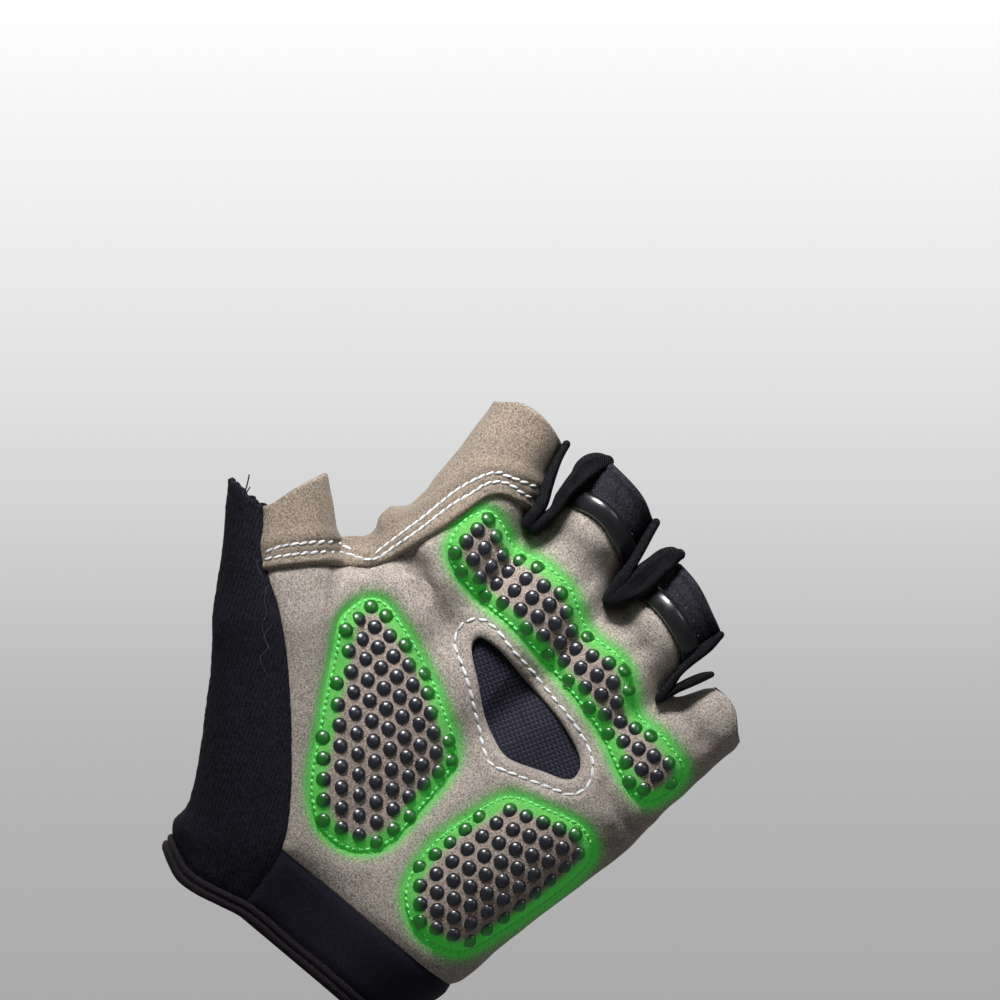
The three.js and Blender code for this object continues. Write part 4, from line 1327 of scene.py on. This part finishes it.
class GLOVE_OT_knit_panels(bpy.types.Operator):
    """Makes the towelling, the back of the hand and the finger bands"""

    bl_idname = "glove.knit_panels"
    bl_label = "Knit Panels"

    def execute(self, context):
        c = colours()
        wall = in_mm(sizes().wall)
        knit = black_cloth("Black knit", c.knit, 0.5)

        def above_wrist(points):
            return points[:, 2] - BINDING_FIT - wrist_lift(points[:, 0], points[:, 1])

        def ragged(points):
            frayed = bump(away_from(thumb_mouth, points[:, 0], points[:, 2]), 2.5) * smooth_step(-points[:, 0], 64, 67)
            return depth_inside(hand_region, points[:, 0], points[:, 2]) + frayed * 0.9 * noise(points, 1.1, 15)

        patch = panel([negative(past_terry), ragged, above_wrist])
        x, y, z = patch.points.T
        relief = 0.25 * noise(patch.points, 8, 11) + 0.14 * noise(patch.points, 1.1, 12)
        relief += sunk_edges(patch, keep=[thumb_mouth])
        relief += 1.4 * bump(z - 9.5, 3.0) * smooth_step(-x, 24, 33)
        terry = black_cloth("Towelling", c.terry, 0.6, wales=0.95)
        made["terry"] = finished(
            fabric("terry_towelling", patch, relief, wall, terry), "terry_panel",
        )

        patch = panel([negative(front_only), within(hand_region), past_terry, above(CUFF_TOP + 0.1)])
        x, y, z = patch.points.T
        relief = 0.3 * noise(patch.points, 11, 13)
        mouths = [thumb_mouth, index_mouth, middle_mouth, ring_mouth, little_mouth]
        relief += sunk_edges(patch, keep=mouths)
        made["back"] = finished(
            fabric("back_knit", patch, relief, wall, knit, swell=web_swell(x, z)), "back_panel",
        )

        for finger, region, mouth in (
            ("middle", middle_band_region, middle_mouth), ("ring", ring_band_region, ring_mouth),
        ):
            patch = panel([front_only, within(region)])
            x, y, z = patch.points.T
            rim = away_from(mouth, x, z)
            relief = 0.12 * noise(patch.points, 5, 14) - 0.3
            relief += 0.3 * bump(rim - 0.6, 0.8) - 0.35 * bump(rim - 1.9, 0.45)
            relief -= 0.3 * bump(away_from(band_stitches[finger], x, z), 0.5)
            made[finger] = finished(
                fabric(f"{finger}_band_knit", patch, relief, wall, knit), f"{finger}_finger_band",
            )
        return {"FINISHED"}


BINDING_FIT = 3.6  # height of the binding tape where the fabric above it starts


class GLOVE_OT_cuff(bpy.types.Operator):
    """Makes the smooth band round the wrist and its bound edge"""

    bl_idname = "glove.cuff"
    bl_label = "Cuff"

    def execute(self, context):
        c = colours()
        smooth = black_cloth("Cuff cloth", scaled(c.neoprene, 1.25), 0.3, gloss=0.8)

        def above_wrist(points):
            return points[:, 2] - BINDING_FIT - wrist_lift(points[:, 0], points[:, 1])

        patch = panel([above_wrist, negative(above(CUFF_TOP - 0.1)), past_terry])
        relief = 0.2 * noise(patch.points, 12, 21) + sunk_edges(patch)
        finished(fabric("cuff_band_cloth", patch, relief, 2.2, smooth), "cuff_band")

        count = 240
        angles = np.linspace(0, 2 * math.pi, count, endpoint=False)
        rays = np.stack([np.cos(angles), np.sin(angles)], 1)
        profile = (
            (0.0, 0.15), (0.4, 0.2), (0.75, 0.6), (0.95, 1.2), (0.8, 1.8), (0.45, 2.05), (0.4, 2.2),
            (0.75, 2.5), (0.9, 3.0), (0.7, 3.6), (0.25, 3.95), (-1.0, 3.95), (-2.4, 3.8), (-2.7, 3.3), (-2.7, 0.9),
            (-2.2, 0.2), (-1.0, 0.1),
        )
        edge_spots = np.stack([rays[:, 0] * 33, rays[:, 1] * 18], 1)
        rings, runs = [], []
        for offset, height in profile:
            low, high = np.zeros(count), np.full(count, 60.0)
            for _ in range(30):
                middle = (low + high) / 2
                x, y = rays[:, 0] * middle, rays[:, 1] * middle
                spots = np.stack([x, y, height + wrist_lift(edge_spots[:, 0], edge_spots[:, 1])], 1)
                outside = form_distance(spots) > offset
                high = np.where(outside, middle, high)
                low = np.where(outside, low, middle)
            spots[:, 0], spots[:, 1] = rays[:, 0] * low, rays[:, 1] * low
            spots[:, 2] = height + wrist_lift(spots[:, 0], spots[:, 1])
            rings.append(spots)
            around = np.linalg.norm(np.roll(spots, -1, axis=0) - spots, axis=1)
            runs.append(np.concatenate([[0], np.cumsum(around)[:-1]]))
        points = np.concatenate(rings)
        faces = []
        for ring in range(len(rings)):
            up = (ring + 1) % len(rings)
            for k in range(count):
                n = (k + 1) % count
                faces.append((ring * count + k, ring * count + n, up * count + n, up * count + k))
        tape = black_cloth("Cuff binding", c.binding, 0.35, gloss=0.75)
        finished(mesh_object("cuff_binding_tape", points, faces, tape), "cuff_binding")
        return {"FINISHED"}


class GLOVE_OT_window(bpy.types.Operator):
    """Makes the woven mesh behind the opening in the palm"""

    bl_idname = "glove.window"
    bl_label = "Mesh Window"

    def execute(self, context):
        s, c = sizes(), colours()
        f = Finish("Window mesh")
        # Painted shade: the weave's low places and the gaps between its threads are darkened
        tone = f.mixed(f.attribute("thread"), scaled(c.mesh, 0.04), scaled(c.mesh, 0.4))
        tone = f.mixed(f.attribute("warp"), tone, scaled(c.mesh, 2.2))
        tone = f.mixed(f.spread(f.grain(0.6), 0.35, 0.65, 0.0, 0.5), tone, scaled(c.mesh, 0.2))
        material = f.shade(Base_Color=tone, Roughness=0.75, Specular_IOR_Level=0.25)
        pitch = in_mm(s.mesh_pitch)
        fine = pitch / 4
        low = window_outline.min(0) - WEAVE_REACH - 0.2
        high = window_outline.max(0) + WEAVE_REACH + 0.2
        xs = np.arange(low[0], high[0], fine)
        zs = np.arange(low[1], high[1], fine)
        grid_x, grid_z = np.meshgrid(xs, zs, indexing="ij")
        x, z = grid_x.ravel(), grid_z.ravel()
        y = front_of_form(x, z)
        turn = math.radians(15)
        u = (x * math.cos(turn) + z * math.sin(turn)) / pitch
        v = (z * math.cos(turn) - x * math.sin(turn)) / pitch
        over, top = woven(u, v, pitch)
        flat = flat_over(x, z, y, depth_inside(window_outline, x, z) > 0)
        y = np.maximum(y, 0.35 * y + 0.65 * flat)
        relief = over - 0.12 * bump(segment_distance(x, z, *WINDOW_CREASE), 0.8)
        inside = depth_inside(window_outline, x, z) > -WEAVE_REACH
        front = np.stack([x, y + 1.95 - relief, z], 1)
        back = np.stack([x, y + 2.6, z], 1)
        keep = inside.reshape(grid_x.shape)
        number = np.arange(len(x)).reshape(grid_x.shape)
        whole = keep[:-1, :-1] & keep[1:, :-1] & keep[1:, 1:] & keep[:-1, 1:]
        quads = np.stack(
            [number[:-1, :-1][whole], number[1:, :-1][whole], number[1:, 1:][whole], number[:-1, 1:][whole]], 1,
        )
        used, quads = np.unique(quads, return_inverse=True)
        quads = quads.reshape(-1, 4)
        count = len(used)
        edges = np.concatenate([quads[:, [k, (k + 1) % 4]] for k in range(4)]).tolist()
        there = {tuple(edge) for edge in edges}
        walls = [
            (b, a, a + count, b + count) for a, b in there if (b, a) not in there
        ]
        faces = quads.tolist() + (quads[:, ::-1] + count).tolist() + walls
        points = np.concatenate([front[used], back[used]])
        # The first of these is painted shade in the weave's low places and gaps
        shade, warp = smooth_step(over[used], 0.1 * pitch, 0.5 * pitch), top[used]
        finished(
            mesh_object(
                "window_weave", points, faces, material,
                {"thread": np.concatenate([shade, shade]), "warp": np.concatenate([warp, warp])},
            ),
            "mesh_window",
        )
        return {"FINISHED"}


WEAVE_REACH = 1.5  # of the mesh under the palm beyond the opening
WINDOW_CREASE = (-6.0, 84.5, 22.0, 70.5)  # x, z of both ends of the mesh's soft crease


def woven(u, v, pitch):
    """The height of a plain weave, u and v in threads."""
    weft = np.sin(math.pi * u) * np.where(np.floor(v) % 2 > 0, -1, 1)
    warp = -np.sin(math.pi * v) * np.where(np.floor(u) % 2 > 0, -1, 1)
    height = []
    for wave, across in ((weft, v % 1), (warp, u % 1)):
        thread = np.sqrt(np.maximum(1 - ((across - 0.5) / 0.5) ** 2, 0))
        height.append(pitch * (0.2 * wave + 0.42 * thread))
    weft, warp = height
    return np.maximum(weft, warp), smooth_step(warp - weft, 0.0, 0.12 * pitch)


def flat_over(x, z, y, chosen):
    """The flat face that lies best through the chosen points."""
    table = np.stack([np.ones(len(x)), x, z], 1)
    return table @ np.linalg.lstsq(table[chosen], y[chosen], rcond=None)[0]


def front_of_form(x, z, level=0.0):
    front = np.full(len(x), -2 * PALM_DEPTH)
    back = np.zeros(len(x))
    for _ in range(24):
        middle = (front + back) / 2
        outside = form_distance(np.stack([x, middle, z], 1)) > level
        front = np.where(outside, middle, front)
        back = np.where(outside, back, middle)
    return front


PAD_FOOT = 0.25  # of a pad's edge over the groove that it is sewn into
PAD_SET = 0.6  # share of a pad's height that its sewn form has before the cloth is blown up


class GLOVE_OT_gel_pads(bpy.types.Operator):
    """Makes the gel pads with their domes and the green rims"""

    bl_idname = "glove.gel_pads"
    bl_label = "Gel Pads"

    def execute(self, context):
        s, c = sizes(), colours()
        cover = suede("Pad suede", c.pad_suede, c.green)
        rubber = glossy("Dome rubber", c.dome, 0.36, scaled(c.green, 0.22))
        for name, outline in pad_outlines.items():
            patch = panel([front_only, within(outline)])
            x, y, z = patch.points.T
            edge = depth_inside(outline, x, z)
            ground = palm_relief(patch.points)
            puff = PAD_FOOT + in_mm(s.pad_rise) * PAD_SET * (1 - np.exp(-edge / 1.6))
            top = patch.points + patch.normals * (ground + puff)[:, None]
            moved = blown_up(top, patch.triangles, edge < 0.3) - top
            far = np.linalg.norm(moved, axis=1)
            cap = in_mm(s.pad_rise) * (1 - PAD_SET) * 1.5
            top = top + moved * (cap * np.tanh(far / cap) / np.maximum(far, 1e-9))[:, None]
            below = patch.points + patch.normals * (ground + 0.05)[:, None]
            points, faces, source = thickened(patch, top, below)
            glow = 1 - smooth_step(edge, 1.9, 4.0)
            attributes = {"glow": outer_only(glow, source), "painted_shade": (edge * 0)[source]}
            pad = mesh_object(f"{name}_cover", points, faces, cover, attributes)
            finished(pad, name)
            made[name] = pad

            tree = surface_tree(pad)
            places = dome_places(tree, name, outline)
            domes = beads(
                f"{name}_domes", places, in_mm(s.dome_width), in_mm(s.dome_width), 2 * in_mm(s.dome_rise),
                rubber, segments=14, rings=10,
            )
            spots = np.array([vertex.co for vertex in domes.data.vertices]) / MM
            glow = 1 - smooth_step(depth_inside(outline, spots[:, 0], spots[:, 2]), 1.9, 3.8)
            attribute = domes.data.attributes.new("glow", "FLOAT", "POINT")
            attribute.data.foreach_set("value", glow.astype(np.float32))
            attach(domes, "root")
        return {"FINISHED"}


def row_terms(place, row):
    return np.stack([np.ones(len(place)), place, row, place * place, place * row, row * row], 1)


def dome_places(tree, name, outline):
    """Where a pad's domes are: rows that bend gently through the marked ones."""
    marks = np.array(DOME_MARKS[name])
    bent = np.linalg.lstsq(row_terms(marks[:, 0], marks[:, 1]), marks[:, 2:], rcond=None)[0]
    steps = np.arange(-DOME_REACH, DOME_REACH + 1)
    place, row = [a.ravel() for a in np.meshgrid(steps, steps)]
    outward = np.argsort(place * place + row * row, kind="stable")
    spots = row_terms(place[outward], row[outward]) @ bent
    inside = depth_inside(outline, spots[:, 0], spots[:, 1]) > in_mm(sizes().dome_edge)
    places = []
    for x, z in spots[inside]:
        here = on_front(tree, x, z)
        clear = all(np.hypot(x - spot[0][0], z - spot[0][2]) > 2.8 for spot in places)
        if here is not None and clear and -here[1][1] > DOME_FACING:
            places.append((here[0] - here[1] * 0.1, np.array([1.0, 0, 0]), here[1]))
    return places


class GLOVE_OT_pull_strips(bpy.types.Operator):
    """Makes the glossy half-round strips across the middle and ring sleeves"""

    bl_idname = "glove.pull_strips"
    bl_label = "Pull Strips"

    def execute(self, context):
        strip = glossy("Pull strip gloss", colours().gloss, 0.3)
        for finger, rows in PULL_STRIPS.items():
            line = smooth_curve(rows, per_row=12)
            y = front_of_form(line[:, 0], line[:, 1], 0.2)
            path = np.stack([line[:, 0], y, line[:, 1]], 1)
            up = form_normals(path)
            along = directions(path)
            side = np.cross(along, up)
            widths = np.full(len(path), 4.7)
            heights = np.full(len(path), 3.2)
            points, faces, _ = lofted(path + up * 0.1, side, up, widths, heights, 20, 0.75)
            finished(
                mesh_object(f"{finger}_pull_gloss", points, faces, strip), f"{finger}_pull_strip",
            )
        return {"FINISHED"}


def directions(path):
    along = np.gradient(path, axis=0)
    return along / np.maximum(np.linalg.norm(along, axis=1), 1e-9)[:, None]


END_ROUNDING = ((1.0, 0.0), (0.9, 0.4), (0.65, 0.75), (0.25, 0.97))  # share of the ring and shift of each end ring


def lofted(centres, sides, ups, widths, heights, corners, squareness=1.0, creases=None):
    """A closed tube with rounded ends through oblong rings, with each point's way along it. A crease is a
    groove along the middle of the upper side, as a share of the ring's width."""
    angles = np.linspace(0, 2 * math.pi, corners, endpoint=False)
    cos = np.sign(np.cos(angles)) * np.abs(np.cos(angles)) ** squareness
    sin = np.sign(np.sin(angles)) * np.abs(np.sin(angles)) ** squareness
    groove = np.where(sin > 0, np.exp(-((cos / 0.28) ** 2)), 0)
    ways = np.concatenate([[0], np.cumsum(np.linalg.norm(np.diff(centres, axis=0), axis=1))])
    rings, runs = [], []
    last = len(centres) - 1
    for i in range(last + 1):
        reach = min(widths[i], heights[i]) / 2
        way = centres[i] - centres[1 if i == 0 else i - 1]
        way = way / max(np.linalg.norm(way), 1e-9)
        sunk = 0 if creases is None else creases[i] * widths[i]
        for shrink, shift in END_ROUNDING if i in (0, last) else ((1.0, 0.0),):
            flat = max(1 - (1 - shrink) * reach / (heights[i] / 2), 0.05)
            tall = sin * heights[i] / 2 * flat - groove * sunk * shrink
            ring = cos[:, None] * sides[i] * widths[i] / 2 * shrink + tall[:, None] * ups[i]
            rings.append(centres[i] + way * shift * reach + ring)
            runs.append(np.full(corners, ways[i] + (shift * reach if i else -shift * reach)))
    first, final = len(END_ROUNDING), len(rings) - len(END_ROUNDING)
    rings = rings[:first][::-1] + rings[first:final] + rings[final:]
    runs = runs[:first][::-1] + runs[first:final] + runs[final:]
    faces = []
    for ring in range(len(rings) - 1):
        for k in range(corners):
            n = (k + 1) % corners
            faces.append((ring * corners + k, ring * corners + n, (ring + 1) * corners + n, (ring + 1) * corners + k))
    faces.append(tuple(range(corners))[::-1])
    faces.append(tuple((len(rings) - 1) * corners + k for k in range(corners)))
    return np.concatenate(rings), faces, np.concatenate(runs)


def joined(pieces):
    """Several tubes in one."""
    points, faces, runs, count = [], [], [], 0
    for piece_points, piece_faces, piece_runs in pieces:
        points.append(piece_points)
        faces += [tuple(v + count for v in face) for face in piece_faces]
        runs.append(piece_runs)
        count += len(piece_points)
    return np.concatenate(points), faces, np.concatenate(runs)


def ribbon_arm(rows, seed):
    """One arm of a folded ribbon, seen by its edge or by its flat side."""
    line = smooth_curve(rows, per_row=8)
    x, z, width, depth, front, crease = line.T
    path = np.stack([x, front + depth / 2, z], 1)
    along = directions(path * (1, 0, 1))
    up = np.tile([0.0, -1.0, 0.0], (len(path), 1))
    wave = noise(path, 3.0, seed)
    path[:, 1] += 0.5 * wave
    return lofted(path, np.cross(along, up), up, width * (1 + 0.08 * wave), depth, 24, 0.62, crease * 0.5)


class GLOVE_OT_ribbons(bpy.types.Operator):
    """Makes the ribbed ribbons that are folded into the crotches"""

    bl_idname = "glove.ribbons"
    bl_label = "Crotch Ribbons"

    def execute(self, context):
        ribbon = black_cloth("Ribbed ribbon", colours().ribbon, 0.35, ribs=0.46)
        for name, arms in CROTCH_RIBBONS.items():
            points, faces, runs = joined([ribbon_arm(rows, 31 + k) for k, rows in enumerate(arms)])
            finished(mesh_object(f"{name}_ribbon", points, faces, ribbon, {"run": runs}), name)
        return {"FINISHED"}


LAP_STITCH = 2.3  # length of a stitch of the lapped seam, in millimetres


class GLOVE_OT_stitches(bpy.types.Operator):
    """Sews the lapped seam, the ring round the window and the pads' outlines"""

    bl_idname = "glove.stitches"
    bl_label = "Stitches"

    def execute(self, context):
        s, c = sizes(), colours()
        thread = thread_finish("White thread", c.thread)
        green = thread_finish("Green thread", c.green_thread)
        long, wide, gap = in_mm(s.stitch_length), in_mm(s.stitch_width), in_mm(s.stitch_gap)
        tree = surface_tree(made["palm"], made["web"])
        places = []
        for line in seam_stitches.values():
            places += stitch_places(tree, line, LAP_STITCH - 0.25, turn=0.2)
        self.place(beads("lap_stitches", places, LAP_STITCH, wide * 0.85, wide * 0.75, thread, jitter=0.08), "web_suede")
        places = stitch_places(tree, window_stitches, long + gap, turn=0.12, closed=True)
        self.place(beads("window_stitches", places, long, wide * 0.92, wide * 0.8, thread, jitter=0.08), "palm_suede")

        tree = surface_tree(made["middle"], made["ring"])
        places = []
        lint = thread_finish("Lint", c.lint)
        for line in band_stitches.values():
            places += stitch_places(tree, line, 3.3)
        self.place(beads("band_stitches", places, 0.5, 0.3, 0.25, lint, jitter=0.4), "palm_suede")

        for name, outline in pad_outlines.items():
            tree = surface_tree(made["palm"], made[name])
            ring = shifted(outline, 0.4, closed=True)
            places = stitch_places(tree, ring, 1.5, turn=0.2, closed=True)
            self.place(beads(f"{name}_stitches", places, 1.25, wide * 0.85, wide * 0.8, green, jitter=0.1), "gel")

        tree = surface_tree(made["palm"], made["web"], made["terry"])
        hairs = [strand(tree, rows, 0.035) for rows in LINT]
        points, faces, _ = joined(hairs)
        self.place(mesh_object("lint_hairs", points, faces, lint), "terry")
        points, faces, _ = joined([loose_end(LOOSE_THREAD, 0.16), loose_end(LOOSE_THREAD_TWO, 0.14)])
        dark = black_cloth("Dark thread", c.terry, 0.3)
        self.place(mesh_object("terry_loose_threads", points, faces, dark), "terry")
        return {"FINISHED"}

    @staticmethod
    def place(obj, slot):
        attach(obj, "root")


def strand(tree, rows, radius):
    """A hair lying on the palm's face, through rows of x, z and height over it."""
    line = smooth_curve(rows, per_row=6)
    spots = []
    for x, z, height in line:
        here = on_front(tree, x, z)
        if here is not None:
            spots.append(here[0] + here[1] * (height + radius))
    return tube(np.array(spots), radius)


def loose_end(rows, radius):
    """A thread that stands up from the towelling's top, through rows of x, z and height in front of it."""
    line = smooth_curve(rows, per_row=6)
    spots = np.stack([line[:, 0], LOOSE_THREAD_Y - line[:, 2], line[:, 1]], 1)
    return tube(spots, radius)


LOOSE_THREAD_Y = -9.0


def tube(path, radius):
    along = directions(path)
    side = np.cross(along, [0.0, -1.0, 0.0])
    side /= np.maximum(np.linalg.norm(side, axis=1), 1e-9)[:, None]
    width = np.full(len(path), 2 * radius)
    return lofted(path, side, np.cross(side, along), width, width, 6)


def shifted(line, by, closed=False):
    """A line moved sideways. A closed one moves inwards where by is above nought."""
    if closed:
        before, after = np.roll(line, 1, axis=0), np.roll(line, -1, axis=0)
    else:
        before, after = np.concatenate([line[:1], line[:-1]]), np.concatenate([line[1:], line[-1:]])
    run = after - before
    run /= np.maximum(np.linalg.norm(run, axis=1), 1e-9)[:, None]
    side = np.stack([-run[:, 1], run[:, 0]], 1)
    if closed:
        probe = line + side * 0.5
        if depth_inside(line, probe[:, 0], probe[:, 1]).mean() < 0:
            side = -side
    return line + side * by


class GLOVE_OT_stage(bpy.types.Operator):
    """Sets the floor, the backdrop, the lights and the camera"""

    bl_idname = "glove.stage"
    bl_label = "Stage"

    def execute(self, context):
        turn = math.radians(40)
        right = Vector((math.cos(turn), 0, math.sin(turn)))
        up = Vector((-math.sin(turn), 0, math.cos(turn)))
        centre = Vector((-0.0263, 0, 0.1119))

        camera = bpy.data.cameras.new("Camera")
        camera.lens = 382
        camera.sensor_width = 36
        camera.clip_end = 50
        obj = bpy.data.objects.new("Camera", camera)
        bpy.context.collection.objects.link(obj)
        basis = Matrix((right, up, right.cross(up))).transposed().to_4x4()
        obj.matrix_world = Matrix.Translation(centre + Vector((0, -2.4, 0))) @ basis
        bpy.context.scene.camera = obj
        bpy.context.scene.view_settings.view_transform = "Standard"

        # The backdrop glows by itself: painted light, brighter towards the top of the picture and darker towards the
        # bottom
        f = Finish("Backdrop")
        height = f.node("ShaderNodeVectorMath", {0: f.place, 1: up}, operation="DOT_PRODUCT")
        ramp = f.node("ShaderNodeValToRGB", {
            "Fac": f.spread(height.outputs["Value"], BACKDROP_HEIGHTS[0], BACKDROP_HEIGHTS[-1]),
        })
        marks = ramp.color_ramp.elements
        span = BACKDROP_HEIGHTS[-1] - BACKDROP_HEIGHTS[0]
        while len(marks) < len(BACKDROP_HEIGHTS):
            marks.new(0.5)
        for mark, place, glow_level in zip(marks, BACKDROP_HEIGHTS, BACKDROP_GLOW):
            mark.position = (place - BACKDROP_HEIGHTS[0]) / span
            mark.color = (glow_level, glow_level, glow_level * 1.005, 1)
        backdrop = f.shade(
            Base_Color=(0.02, 0.02, 0.02, 1), Roughness=0.9, Specular_IOR_Level=0.0,
            Emission_Color=ramp.outputs["Color"], Emission_Strength=1.0,
        )
        f = Finish("Floor")
        floor = f.shade(Base_Color=(0.8, 0.8, 0.79, 1), Roughness=0.9, Specular_IOR_Level=0.1)
        mesh_object(
                "backdrop", [(-4000, 3200, -400), (4000, 3200, -400), (4000, 3200, 3500), (-4000, 3200, 3500)],
                [(0, 1, 2, 3)], backdrop,
            )
        mesh_object(
                "floor", [(-4000, -4000, -400), (4000, -4000, -400), (4000, 4000, -400), (-4000, 4000, -400)],
                [(0, 1, 2, 3)], floor,
            )
        above = centre - right * 0.02 + up * 0.28 + Vector((0, -0.2, 0))
        key = self.light("Key", above, centre + up * 0.035 - right * 0.002, 0.16, 0.24)
        key.spread = math.radians(45)
        self.light("Edge", centre + right * 0.42 + up * 0.24 + Vector((0, -0.45, 0)), centre, 0.24, 0.34)
        self.light("Fill", centre + right * 0.5 + up * 0.1 + Vector((0, -1.2, 0)), centre, 1.0, 0.22)
        world = bpy.data.worlds.new("World")
        world.use_nodes = True
        world.node_tree.nodes["Background"].inputs["Color"].default_value = (0.97, 0.98, 1.0, 1.0)
        world.node_tree.nodes["Background"].inputs["Strength"].default_value = 0.07
        bpy.context.scene.world = world
        return {"FINISHED"}

    @staticmethod
    def light(name, place, target, size, power):
        light = bpy.data.lights.new(name, "AREA")
        light.size = size
        light.energy = power
        obj = bpy.data.objects.new(name, light)
        obj.location = place
        obj.rotation_euler = (target - place).to_track_quat("-Z", "Y").to_euler()
        bpy.context.collection.objects.link(obj)
        return light


BACKDROP_HEIGHTS = (-170.0, -140.0, -30.0, 10.0, 155.0, 335.0, 360.0)  # in millimetres up the picture
# Brightness that the backdrop gives off at those heights: painted light
BACKDROP_GLOW = (0.40, 0.41, 0.47, 0.51, 0.74, 0.95, 1.0)


class GLOVE_PT_panel(bpy.types.Panel):
    """Lists the glove's pieces, sizes and colours"""

    bl_label = "Cycling Glove"
    bl_idname = "GLOVE_PT_panel"
    bl_space_type = "VIEW_3D"
    bl_region_type = "UI"
    bl_category = "Glove"

    def draw(self, context):
        for group in (context.scene.glove_sizes, context.scene.glove_colours):
            box = self.layout.box()
            for key in group.__annotations__:
                box.prop(group, key)
        for operator in OPERATORS:
            self.layout.operator(operator.bl_idname)


OPERATORS = (
    GLOVE_OT_suede_panels, GLOVE_OT_knit_panels, GLOVE_OT_cuff, GLOVE_OT_window, GLOVE_OT_gel_pads,
    GLOVE_OT_pull_strips, GLOVE_OT_ribbons, GLOVE_OT_stitches, GLOVE_OT_stage,
)
CLASSES = (GloveSizes, GloveColours, *OPERATORS, GLOVE_PT_panel)


def register():
    for cls in CLASSES:
        bpy.utils.register_class(cls)
    bpy.types.Scene.glove_sizes = bpy.props.PointerProperty(type=GloveSizes)
    bpy.types.Scene.glove_colours = bpy.props.PointerProperty(type=GloveColours)


def unregister():
    del bpy.types.Scene.glove_colours
    del bpy.types.Scene.glove_sizes
    for cls in reversed(CLASSES):
        bpy.utils.unregister_class(cls)


def main():
    register()
    for operator in OPERATORS:
        group, name = operator.bl_idname.split(".")
        getattr(getattr(bpy.ops, group), name)()


if __name__ == "__main__":
    main()
